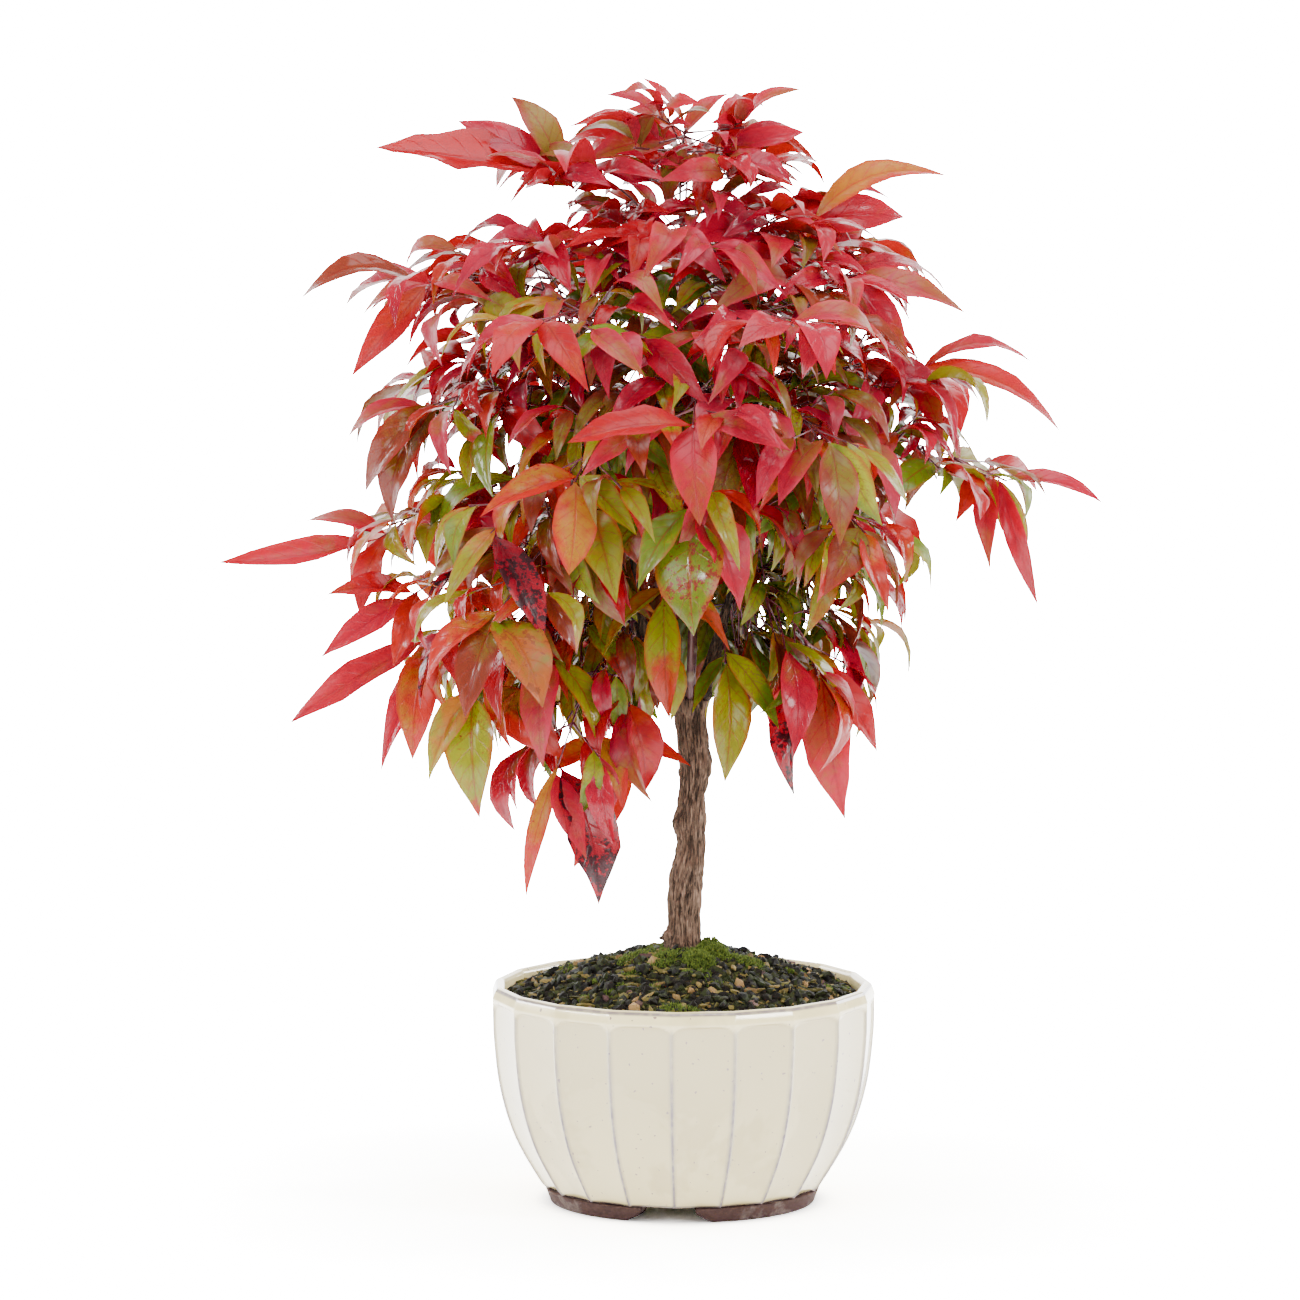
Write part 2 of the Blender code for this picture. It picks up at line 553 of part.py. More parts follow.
def blade(root, way, normal, length, width, bow, grow=0.0, start=0.0):
    """A leaf as a thin closed blade: a pointed oval, folded up along its midrib and bowed.

    grow thickens and widens it all round. start leaves out that share of it at the root.
    """
    side = normal.cross(way).normalized()
    normal = way.cross(side).normalized()
    half = LEAF_THICKNESS / 2 + grow
    neck = LEAF_NECK / 2 + grow

    def place(along, across, lift=0.0):
        along = start + (1 - start) * along
        edge = across * (width / 2 + grow)
        rise = bow * length * 4 * along * (1 - along) + abs(edge) * LEAF_FOLD + lift
        return root + way * (length * along) + side * edge + normal * rise

    verts = [place(0, 0, neck), place(0, 0, -neck), place(LEAF_WIDEST, 1),
             place(1, 0), place(LEAF_WIDEST, -1),
             place(LEAF_MIDDLE, 0, half), place(LEAF_MIDDLE, 0, -half)]
    upper, under = 5, 6
    rim = (0, 4, 3, 2, 0)
    faces = [(a, b, upper) for a, b in zip(rim, rim[1:])]
    rim = (1, 4, 3, 2, 1)
    faces += [(b, a, under) for a, b in zip(rim, rim[1:])]
    faces += [(0, 1, 4), (1, 0, 2)]
    return verts, faces


class Space:
    """What the limbs and the sprays take up, so that each spray keeps to its own space."""

    def __init__(self):
        self.taken = []

    def add(self, owner, verts, faces, kind):
        self.taken.append((owner, kind, self.box(verts), BVHTree.FromPolygons(verts, faces)))

    @staticmethod
    def box(verts):
        return [(min(v[i] for v in verts), max(v[i] for v in verts)) for i in range(3)]

    def free(self, owner, verts, faces, kind="any"):
        """Whether the shape meets nothing: of others, or with kind its owner's own such."""
        low_high = self.box(verts)
        if low_high[2][0] < LOWEST_LEAF:
            return False
        tree = None
        for other, other_kind, box, other_tree in self.taken:
            own = other == owner
            if own != (kind == "own leaf") or (own and other_kind != kind):
                continue
            if any(a[0] > b[1] or b[0] > a[1] for a, b in zip(low_high, box)):
                continue
            tree = tree or BVHTree.FromPolygons(verts, faces)
            if tree.overlap(other_tree):
                return False
        return True


class Spray:
    """One mass of foliage: a compound leaf of pinnae and leaflets on one stem."""

    def __init__(self, name, index, row, limbs):
        (limb, height, bearing, reach, end_height, self.pairs, self.length, self.pitch,
         self.tint) = row
        self.name = name
        self.dice = random.Random(SEED + index)
        self.end = turned(bearing) * reach + UP * end_height
        centre = limb_at(limbs[limb], height)[0]
        level = self.end - centre
        self.bearing = math.degrees(math.atan2(level.y, level.x))
        self.start, self.out = leave(limbs[limb], height, self.bearing, STEM_RADIUS)
        self.stem = []
        self.pinnae = []
        self.pieces = []

    def stem_path(self, swing):
        """An arching stem from the limb to the end node, swung sideways by some degrees."""
        first = self.start + self.out * LEAD_OUT
        span = self.end - first
        level = Vector((span.x, span.y, 0)).length
        crown = first + Matrix.Rotation(math.radians(swing), 3, "Z") @ (span * 0.5)
        crown.z = max(first.z, self.end.z) + ARCH * level
        path = [self.start]
        for i in range(STEM_STEPS + 1):
            t = i / STEM_STEPS
            path.append(first * (1 - t) ** 2 + crown * (2 * t * (1 - t)) + self.end * t**2)
        return path

    def grow_stem(self, space):
        for swing in SWINGS:
            path = self.stem_path(swing)
            count = len(path)
            thick = [r + CLEARANCE for r in tapered(count, STEM_RADIUS, TWIG_RADIUS)]
            # The test leaves out the stretch beside the limb.
            if space.free(self.name, *tube(path[2:], thick[2:], TWIG_SIDES)):
                break
        else:
            raise ValueError(f"{self.name} has no room for its stem")
        self.stem = path
        radii = tapered(count, STEM_RADIUS, TWIG_RADIUS)
        self.keep(space, "twig", tube(path, radii, TWIG_SIDES))

    def keep(self, space, kind, shape):
        self.pieces.append((kind, shape))
        space.add(self.name, *shape, kind)

    def grow_pinnae(self, space):
        """Pairs of side stalks, each with a joint where its leaflets sit."""
        for share in PINNA_PLACES[self.pairs]:
            at = share * (len(self.stem) - 1)
            low = int(at)
            root = self.stem[low].lerp(self.stem[low + 1], at - low)
            along = self.stem[low + 1] - self.stem[low]
            heading = math.degrees(math.atan2(along.y, along.x))
            for side in (1, -1):
                length = PINNA_LENGTH * self.dice.uniform(0.8, 1.15)
                spread = PINNA_SPREAD + self.dice.uniform(-10, 10)
                fall = self.pitch * 0.5 + self.dice.uniform(-8, 12)
                for attempt in range(TRIES):
                    bearing = heading + side * (spread - PINNA_TURN * attempt)
                    way = turned(bearing, fall + PINNA_LIFT * attempt)
                    tip = root + way * length * (1 - PINNA_SHRINK * attempt)
                    path = [root, tip]
                    if space.free(self.name, *tube(path, [TWIG_RADIUS + CLEARANCE] * 2, TWIG_SIDES)):
                        self.keep(space, "twig", tube(path, [TWIG_RADIUS] * 2, TWIG_SIDES))
                        self.pinnae.append((tip, way, bearing))
                        break

    def leaflets(self, heading):
        """The three leaflets that a joint bears: bearing, pitch and length of each."""
        rows = []
        for turn, size in ((0, 1.0), (1, SIDE_LEAFLET), (-1, SIDE_LEAFLET)):
            rows.append((heading + turn * (LEAFLET_SPREAD + self.dice.uniform(-12, 12)),
                         self.pitch + self.dice.uniform(-14, 14),
                         self.length * size * self.dice.uniform(0.85, 1.1)))
        return rows

    def grow_leaf(self, space, node, row, outline):
        """Sets one leaf on its joint, turning and shortening it until it has room."""
        bearing, pitch, length = row
        width = LEAF_WIDTH * self.dice.uniform(0.88, 1.12)
        bow = LEAF_BOW * self.dice.uniform(0.5, 1.4)
        loose = Vector([self.dice.uniform(-LEAF_LOOSE, LEAF_LOOSE) for _ in range(3)])
        outward = Vector((node.x, node.y, 0)).normalized() * LEAN_OUT
        face = UP + loose + (FRONT * LEAN_FRONT if outline else outward)
        for attempt in range(TRIES):
            size = length * (1 - SHRINK * attempt)
            way = turned(bearing + TURNS[attempt], pitch + TILTS[attempt])
            normal = (face - way * face.dot(way)).normalized()
            form = (node - way * ROOT_SINK, way, normal, size, size * width, bow)
            if not space.free(self.name, *blade(*form, grow=CLEARANCE)):
                continue
            outer = blade(*form, start=LEAF_OVERLAP)
            if not space.free(self.name, *outer, kind="own leaf"):
                continue
            self.pieces.append(("leaf", blade(*form)))
            space.add(self.name, *blade(*form), "leaf")
            space.add(self.name, *outer, "own leaf")
            return True
        return False

    def fuse(self):
        """One solid: the stem, with every twig and leaf joined to it by a union."""
        loose = bpy.data.collections.new(self.name)
        bpy.context.scene.collection.children.link(loose)
        (_, (verts, faces)), *rest = self.pieces
        body = add_piece(self.name, verts, faces, self.tint)
        for i, (kind, (verts, faces)) in enumerate(rest):
            add_piece(f"{self.name}_{kind}_{i}", verts, faces, self.tint, loose)
        union = body.modifiers.new("join", "BOOLEAN")
        union.operation = "UNION"
        union.operand_type = "COLLECTION"
        union.collection = loose
        union.solver = "EXACT"
        with bpy.context.temp_override(object=body, active_object=body):
            bpy.ops.object.modifier_apply(modifier=union.name)
        for piece in list(loose.objects):
            bpy.data.objects.remove(piece, do_unlink=True)
        bpy.data.collections.remove(loose)


def grow_leaves(space, joints, outline=False):
    """One leaflet of each joint in turn, then the next of each."""
    waiting = []
    for spray, tip, along, rows in joints:
        for k, row in enumerate(rows):
            waiting.append((k, spray, tip - along * JOINT_STEPS[k], row))
    waiting.sort(key=lambda item: item[0])
    for _, spray, node, row in waiting:
        spray.grow_leaf(space, node, row, outline)


def grow_foliage(limbs):
    """Every spray: all stems, the leaves of the outline, the pinnae, then the other leaves."""
    space = Space()
    for points, radii in limbs.values():
        space.add("limb", *tube(points, radii, LIMB_SIDES), "limb")
    sprays = [Spray(name, i, row, limbs) for i, (name, row) in enumerate(SPRAYS.items())]
    for spray in sprays:
        spray.grow_stem(space)
    ends = {s.name: (s, s.end, (s.stem[-1] - s.stem[-2]).normalized()) for s in sprays}
    grow_leaves(space, [(*ends[name], rows) for name, rows in OUTLINE.items()], outline=True)
    for spray in sprays:
        spray.grow_pinnae(space)
    grow_leaves(space, [(*end, end[0].leaflets(end[0].bearing)) for name, end in ends.items()
                        if name not in OUTLINE])
    grow_leaves(space, [(spray, tip, along, spray.leaflets(heading)) for spray in sprays
                        for tip, along, heading in spray.pinnae])
    return sprays


def main():
    clean_scene()
    add_bowl()
    add_feet()
    add_soil()
    add_moss()
    add_trunk()
    limbs = limb_paths()
    for name, (points, radii) in limbs.items():
        verts, faces = tube(points, radii, LIMB_SIDES)
        look = "bark" if name.startswith("bough") else "cane"
        add_piece(name, verts, faces, look, smooth=True)
    for spray in grow_foliage(limbs):
        spray.fuse()


main()
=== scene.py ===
"""A heavenly bamboo bonsai in autumn leaf, in a round fluted pot on three feet.

Metres, +Z up, the front of the plant facing -Y. Bearings are degrees round the pot's
axis, from +X (right) through +Y (back), so 180 is left and 270 is the front.
"""

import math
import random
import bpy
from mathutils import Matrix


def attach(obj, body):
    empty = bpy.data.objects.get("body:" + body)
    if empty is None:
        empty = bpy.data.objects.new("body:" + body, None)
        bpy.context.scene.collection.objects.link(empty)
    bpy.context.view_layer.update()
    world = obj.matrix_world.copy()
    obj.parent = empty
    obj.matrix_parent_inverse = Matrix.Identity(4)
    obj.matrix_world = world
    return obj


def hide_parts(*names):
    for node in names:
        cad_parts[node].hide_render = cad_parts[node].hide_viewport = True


bl_info = {
    "name": "Heavenly bamboo bonsai",
    "version": (1, 0, 0),
    "blender": (4, 5, 0),
    "location": "3D View > Sidebar > Bonsai",
    "description": "Builds a potted heavenly bamboo: pot, soil, moss, wood, foliage and stage",
    "category": "Object",
}

import bpy
from bpy.props import FloatProperty, FloatVectorProperty, IntProperty, PointerProperty
from mathutils import Matrix, Vector, noise
from mathutils.bvhtree import BVHTree

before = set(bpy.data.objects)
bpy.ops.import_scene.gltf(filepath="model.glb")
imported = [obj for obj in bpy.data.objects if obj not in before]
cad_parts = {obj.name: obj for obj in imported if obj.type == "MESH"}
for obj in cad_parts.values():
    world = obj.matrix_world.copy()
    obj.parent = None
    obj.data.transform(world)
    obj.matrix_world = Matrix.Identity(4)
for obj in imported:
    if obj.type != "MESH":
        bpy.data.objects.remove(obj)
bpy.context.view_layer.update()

UP = Vector((0, 0, 1))
FRONT = Vector((0, -1, 0))
SEAT_GAP = 0.0003  # between pieces that touch
POT_AXIS = Vector((0.0094, -0.0096, 0.0))

# Bowl and feet
FLUTES = 19
FLUTE_BEARING = 266.6  # of the ridge nearest the front
FLUTE_TOP = 0.0862  # panels end here, below a plain band
PANEL_LEVELS = (0.0822, 0.0832, 0.0840, 0.0846, 0.0850, 0.0853, 0.0858, 0.0861)
PANEL_CORNER = 0.0034  # height that a panel's top corners are rounded over
RIM_RADIUS = 0.0802
POT_HEIGHT = 0.0915
LIP_WIDTH = 0.0055
WALL = 0.0058
FLOOR = 0.012
FLOOR_RADIUS = 0.053
DRAIN_RADIUS = 0.006
FOOT_HEIGHT = 0.0062
BOWL_BOTTOM = FOOT_HEIGHT + SEAT_GAP
BOWL_PROFILE = (
    (BOWL_BOTTOM, 0.0575),
    (0.0110, 0.0611),
    (0.0285, 0.0708),
    (0.0485, 0.0770),
    (0.0697, 0.0797),
    (0.0855, 0.0801),
)
FOOT_TOP_RADIUS = 0.0573
FOOT_BOTTOM_RADIUS = 0.055
FOOT_WIDTH = 0.0105
FEET = 3
NOTCH_BEARING = 263.7
NOTCH_HALF_BOTTOM = 16.7
NOTCH_HALF_TOP = 8.9
NOTCH_WIDER = 1.3  # how much wider than the solids' a notch is where it meets the bowl
FOOT_LEVELS = 7
FOOT_STEPS = 40
FLUTE_STEPS = 16
CROWDING = 0.78  # how strongly the wall's points crowd towards the ridges
PANEL_STEP = 0.0016  # height that a panel's top is rounded off over
PANEL_SHOULDER = 0.34  # share of a panel's depth that it falls right beside its ridges
RIM_WAVE_START = 0.079
RIM_WAVE_RUN = 0.006
# Lip: how far each point lies inside the rim and below the top on its outer side, then how far
# outside its inner edge and below the top, then how far behind that edge and at which height.
LIP_OUTSIDE = ((0.0, 0.0050), (0.0002, 0.0042), (0.0006, 0.0030), (0.0010, 0.0020),
               (0.0013, 0.0013), (0.0018, 0.0006), (0.0024, 0.0002), (0.0030, 0.0))
LIP_INSIDE = ((0.0020, 0.0), (0.0011, 0.0003), (0.0003, 0.0010), (0.0, 0.0022))
THROAT = ((0.0002, 0.0865), (0.0004, 0.0815))

# Soil and moss
SOIL_EDGE = 0.0855
SOIL_TOP = 0.1055
SOIL_FLAT_RADIUS = 0.0105
SOIL_RADIUS = RIM_RADIUS - LIP_WIDTH - 0.0012
SOIL_FALL = 1.05
SOIL_RISE = 0.0008
SOIL_LUMP = 0.0014
LUMP_SPACING = 0.036
LUMP_PHASE = 0.8
LUMP_FADE = 0.011
MOSS_INNER = 0.0098
MOSS_OUTER = 0.0205
SOIL_STEPS = 40
SOIL_TURNS = 150
SOIL_ROUGHNESS = 0.0007
SOIL_PLAY = 0.0012  # between the outermost stones and the bowl
# Stones: name, share of the number set for their kind, sizes, darkest and palest shade, share
# of green film and slenderness.
STONES = {
    "chips": (("chips_dark", 1.0, (0.0007, 0.0030), (0.0018, 0.0018, 0.001),
               (0.009, 0.0058, 0.0031), 0.18, 1.25),),
    "slivers": (("slivers", 1.0, (0.0006, 0.0013), (0.03, 0.030, 0.006),
                 (0.23, 0.16, 0.050), 0.28, 3.6),),
    "pebbles": (("pebbles_tan", 0.75, (0.0012, 0.0034), (0.10, 0.055, 0.018),
                 (0.36, 0.21, 0.085), 0.2, 1.1),
                ("pebbles_mauve", 0.25, (0.0018, 0.0038), (0.045, 0.022, 0.022),
                 (0.14, 0.075, 0.070), 0.1, 1.1)),
}
SLENDER = 3  # stones more slender than this lie loose on the others
FILM = (0.07, 0.10, 0.015)  # green film on the stones
# Ring of moss round the trunk: share of the shoots, height, and bearing where it is highest.
MOSS_RING = (0.24, 0.0046, 330)
# Tufts: bearing and radius of the middle, spread, height, share of the shoots.
MOSS_TUFTS = (
    (322, 0.0165, 0.0075, 0.0070, 0.19),
    (350, 0.0125, 0.0060, 0.0066, 0.10),
    (268, 0.0680, 0.0100, 0.0030, 0.06),
    (288, 0.0220, 0.0080, 0.0060, 0.14),
    (250, 0.0200, 0.0080, 0.0042, 0.07),
    (205, 0.0220, 0.0080, 0.0036, 0.04),
    (335, 0.0290, 0.0090, 0.0040, 0.08),
    (120, 0.0320, 0.0080, 0.0026, 0.02),
)
LOOSE_TUFTS = 34
LOOSE_HEIGHT = 0.0013
LOOSE_SHARE = 0.007
SHOOT_RADIUS = 0.00026
SHOOT_LENGTHS = (0.0007, 0.0015)

# Trunk, from the ground cut to the fork: height, sideways place and radius.
TRUNK_SECTIONS = (
    (SOIL_TOP + SEAT_GAP, 0.0003, 0.0090),
    (0.1085, 0.0005, 0.0077),
    (0.1130, 0.0008, 0.0067),
    (0.1216, 0.0007, 0.0069),
    (0.1333, 0.0013, 0.0069),
    (0.1500, 0.0036, 0.0064),
    (0.1590, 0.0031, 0.0066),
    (0.1690, 0.0042, 0.0057),
    (0.1827, 0.0050, 0.0067),
    (0.2010, 0.0034, 0.0065),
    (0.2095, 0.0031, 0.0079),
)
# Rounded end of the trunk between its boughs, past the solid's plain one.
TRUNK_CROWN = (
    (0.2112, 0.0031, 0.0070),
    (0.2126, 0.0030, 0.0046),
    (0.2132, 0.0030, 0.0008),
)
FORK = TRUNK_SECTIONS[-1][0] + SEAT_GAP
TRUNK_GIRTH = 0.95  # of the solid's, below the bark's relief
TRUNK_SIDES = 112
TRUNK_STEPS = 18
# Knot in the bark and burr at the flare: place, size and height.
BURRS = (
    (Vector((-0.0028, -0.0038, 0.1590)), 0.0030, 0.0024),
    (Vector((-0.0074, -0.0028, 0.1112)), 0.0026, 0.0058),
)

# Limbs: root radius, tip radius and the places that the limb passes through.
LIMB_STEPS = 3
LIMB_LEAD = 0.002
LIMBS = {
    "bough_left": (
        0.0031,
        0.0015,
        ((-0.0013, 0.0002, FORK), (-0.0170, -0.0020, 0.2410), (-0.0200, 0.0, 0.2840),
         (-0.0140, 0.0030, 0.3450)),
    ),
    "bough_right": (
        0.0027,
        0.0014,
        ((0.0073, -0.0012, FORK), (0.0125, -0.0030, 0.2280), (0.0220, -0.0050, 0.2670),
         (0.0300, 0.0, 0.3350)),
    ),
    "cane_centre": (
        0.0022,
        0.0012,
        ((0.0037, 0.0050, FORK), (0.0045, 0.0080, 0.2500), (0.0030, 0.0070, 0.3300),
         (-0.0010, 0.0040, 0.4130)),
    ),
    "cane_front": (
        0.0020,
        0.0012,
        ((0.0028, -0.0050, FORK), (0.0040, -0.0090, 0.2500), (0.0070, -0.0080, 0.3200),
         (0.0080, -0.0060, 0.3740)),
    ),
}
# Limbs that leave another limb: its name, the height and bearing where they leave it, their
# root radius, tip radius and the places that they pass through.
BRANCHES = {
    "cane_left": ("bough_left", 0.2640, 160, 0.0018, 0.0011,
                  ((-0.0320, 0.0060, 0.2900), (-0.0430, 0.0100, 0.3700))),
    "cane_back": ("cane_centre", 0.2400, 84, 0.0018, 0.0011,
                  ((0.0070, 0.0230, 0.2680), (0.0120, 0.0400, 0.3480))),
}
WOOD_STEPS = 9
WOOD_SIDES = 20
JOINTS = 38  # swollen rings of a limb, to each metre of height
JOINT_SHIFT = 0.37  # between the rings of one limb and the next
BOUGH_FLARE = 0.05  # height that a bough grows stouter over, towards the fork

# Foliage, grown by the rule of the solids
SEED = 41
LIMB_SIDES = 6
TWIG_SIDES = 3
STEM_RADIUS = 0.0008
TWIG_RADIUS = 0.0007
STEM_STEPS = 3
LEAD_OUT = 0.0030
ARCH = 0.12
LEAF_THICKNESS = 0.0009
LEAF_NECK = 0.00036
LEAF_WIDTH = 0.42
LEAF_WIDEST = 0.4
LEAF_MIDDLE = 0.45
LEAN_OUT = 0.7
LEAN_FRONT = 0.8
LEAF_FOLD = 0.28
LEAF_BOW = 0.11
LEAF_LOOSE = 0.45
LEAF_OVERLAP = 0.3
ROOT_SINK = 0.0003
JOINT_STEPS = (0.0006, 0.0040, 0.0054, 0.0068)
CLEARANCE = 0.0007
TRIES = 7
SHRINK = 0.035
TURNS = (0, 9, -9, 18, -18, 27, -27)
TILTS = (0, 0, 0, -8, 8, -14, 14)
SWINGS = (0, 12, -12, 24, -24, 36, -36, 50, -50)
PINNA_LENGTH = 0.027
PINNA_SPREAD = 58
PINNA_PLACES = ((), (0.58,), (0.44, 0.72))
PINNA_TURN = 7
PINNA_LIFT = 5
PINNA_SHRINK = 0.06
LEAFLET_SPREAD = 66
SIDE_LEAFLET = 0.86
LOWEST_LEAF = 0.116

# Finer foliage than the solids hold, in the room that is left: places of the pinnae on the
# stem, length of their leaflets beside the spray's own, and lift of the pinnae. The inner
# growth is for the sprays that end below INNER_TOP alone.
FINE_GROWTH = (((0.34, 0.84), 0.82, 0), ((0.22, 0.62), 0.76, 24), ((0.48, 0.74), 0.72, -26))
INNER_GROWTH = (((0.14, 0.30), 0.80, -50), ((0.40, 0.66), 0.70, 48))
FINE_WIDTH = 0.72
FINE_CLEARANCE = 0.0002
FREE_WIDTHS = (0.68, 1.0)  # of the other leaflets, beside the solids' blades
OUTLINE_PLAY = 0.15  # how freely the outline's own leaflets arch and curl, beside the others
STALK_SIDES = 6

# Outline of a leaflet: share of its length from the root, and of its half width there, for
# the slenderest and the fullest leaflets.
LEAF_ROWS = ((0.0, 0.03, 0.03), (0.05, 0.06, 0.14), (0.12, 0.38, 0.54), (0.23, 0.76, 0.86),
             (0.36, 0.97, 1.0), (0.50, 1.0, 0.99), (0.64, 0.83, 0.88), (0.77, 0.52, 0.66),
             (0.89, 0.21, 0.34), (1.0, 0.0, 0.0))
LEAF_COLUMNS = (-1.0, -0.5, 0.0, 0.5, 1.0)

# Each spray of foliage: the limb that bears it, the height where it leaves that limb,
# the bearing, reach and height of its end node from the pot's axis, its pairs of
# pinnae, the length and pitch of its leaflets, and its tint.
SPRAYS = {
    "spray_top": ("cane_centre", 0.416, 300, 0.003, 0.4470, 1, 0.036, 20, "crimson"),
    "spray_top_right": ("cane_centre", 0.406, 345, 0.019, 0.4370, 1, 0.034, -5, "crimson"),
    "spray_top_left": ("cane_centre", 0.398, 181, 0.056, 0.4300, 1, 0.044, 5, "crimson"),
    "spray_top_back": ("cane_centre", 0.402, 84, 0.050, 0.4340, 1, 0.046, 5, "scarlet"),
    "spray_top_front": ("cane_front", 0.377, 262, 0.046, 0.4080, 1, 0.040, -20, "bronze"),
    "spray_upper_right": ("cane_centre", 0.388, 352, 0.054, 0.4080, 1, 0.044, 0, "scarlet"),
    "spray_crest_right": ("cane_front", 0.368, 340, 0.076, 0.3880, 1, 0.046, -22, "crimson"),
    "spray_crest_left": ("cane_centre", 0.378, 207, 0.066, 0.4000, 1, 0.042, -12, "crimson"),
    "spray_upper_left": ("cane_left", 0.372, 182, 0.109, 0.3830, 1, 0.044, -22, "crimson"),
    "spray_upper_back_right": ("cane_centre", 0.380, 42, 0.092, 0.3930, 1, 0.046, -15, "crimson"),
    "spray_upper_back": ("cane_back", 0.350, 90, 0.094, 0.3820, 1, 0.046, -18, "scarlet"),
    "spray_upper_back_left": ("cane_left", 0.362, 136, 0.096, 0.3880, 1, 0.046, -15, "crimson"),
    "spray_upper_front_left": ("bough_left", 0.347, 238, 0.109, 0.3740, 1, 0.046, -25, "bronze"),
    "spray_upper_front_right": ("cane_front", 0.358, 294, 0.108, 0.3740, 1, 0.044, -25, "crimson"),
    "spray_right_arm": ("bough_right", 0.337, 4, 0.098, 0.3450, 1, 0.046, -18, "crimson"),
    "spray_far_right": ("bough_right", 0.318, 356, 0.134, 0.3020, 2, 0.042, -30, "crimson"),
    "spray_left_fall": ("cane_left", 0.338, 188, 0.107, 0.3330, 1, 0.044, -40, "scarlet"),
    "spray_front_heart": ("cane_front", 0.340, 272, 0.106, 0.3340, 1, 0.044, -30, "crimson"),
    "spray_back_right_arm": ("bough_right", 0.324, 38, 0.120, 0.3380, 1, 0.046, -28, "crimson"),
    "spray_back_arm": ("cane_back", 0.332, 78, 0.112, 0.3240, 1, 0.046, -32, "scarlet"),
    "spray_back_left_arm": ("cane_left", 0.350, 146, 0.122, 0.3320, 1, 0.046, -28, "crimson"),
    "spray_front_left": ("bough_left", 0.326, 244, 0.100, 0.3100, 1, 0.042, -45, "orange"),
    "spray_front_right": ("bough_right", 0.328, 303, 0.108, 0.3260, 1, 0.044, -45, "bronze"),
    "spray_far_left": ("cane_left", 0.300, 181, 0.126, 0.2770, 1, 0.044, -30, "scarlet"),
    "spray_left_low": ("bough_left", 0.276, 196, 0.118, 0.2560, 1, 0.040, -35, "orange"),
    "spray_back_left_low": ("bough_left", 0.292, 150, 0.120, 0.2760, 1, 0.046, -42, "bronze"),
    "spray_back_low": ("cane_back", 0.300, 104, 0.112, 0.2720, 1, 0.046, -42, "olive"),
    "spray_back_right_low": ("bough_right", 0.294, 56, 0.118, 0.2780, 1, 0.046, -42, "bronze"),
    "spray_front_shield": ("cane_front", 0.306, 272, 0.094, 0.2980, 1, 0.044, -55, "green"),
    "spray_front_left_low": ("bough_left", 0.310, 226, 0.112, 0.2880, 1, 0.044, -50, "olive"),
    "spray_front_right_low": ("bough_right", 0.302, 313, 0.108, 0.2880, 1, 0.042, -50, "green"),
    "spray_right_low": ("bough_right", 0.278, 8, 0.068, 0.2700, 1, 0.042, -50, "olive"),
    "spray_skirt_left": ("bough_left", 0.252, 188, 0.108, 0.2360, 1, 0.046, -50, "orange"),
    "spray_skirt_olive": ("bough_left", 0.244, 207, 0.097, 0.2180, 1, 0.046, -65, "olive"),
    "spray_pendant_left": ("bough_left", 0.237, 228, 0.078, 0.1870, 1, 0.044, -68, "scarlet"),
    "spray_pendant_front": ("bough_left", 0.230, 226, 0.035, 0.1940, 0, 0.044, -60, "orange"),
    "spray_pendant_right": ("bough_right", 0.256, 338, 0.062, 0.2240, 1, 0.046, -65, "crimson"),
    "spray_fork_front": ("bough_right", 0.242, 306, 0.030, 0.2280, 0, 0.040, -70, "green"),
    "spray_trunk_leaf": ("cane_front", 0.272, 258, 0.038, 0.2580, 0, 0.044, -70, "olive"),
    "spray_mottled": ("bough_left", 0.288, 229, 0.116, 0.2540, 1, 0.046, -50, "bronze"),
    "spray_skirt_right": ("bough_right", 0.264, 30, 0.070, 0.2380, 1, 0.044, -55, "olive"),
    "spray_skirt_back_right": ("bough_right", 0.250, 64, 0.088, 0.2200, 1, 0.044, -62, "green"),
    "spray_skirt_back_left": ("bough_left", 0.246, 142, 0.092, 0.2160, 1, 0.044, -62, "orange"),
    "spray_inner_left": ("bough_left", 0.318, 262, 0.056, 0.3360, 1, 0.042, -45, "green"),
    "spray_inner_right": ("bough_right", 0.310, 322, 0.058, 0.3080, 1, 0.042, -50, "olive"),
    "spray_skirt_back": ("cane_back", 0.262, 108, 0.088, 0.2100, 1, 0.044, -65, "green"),
}

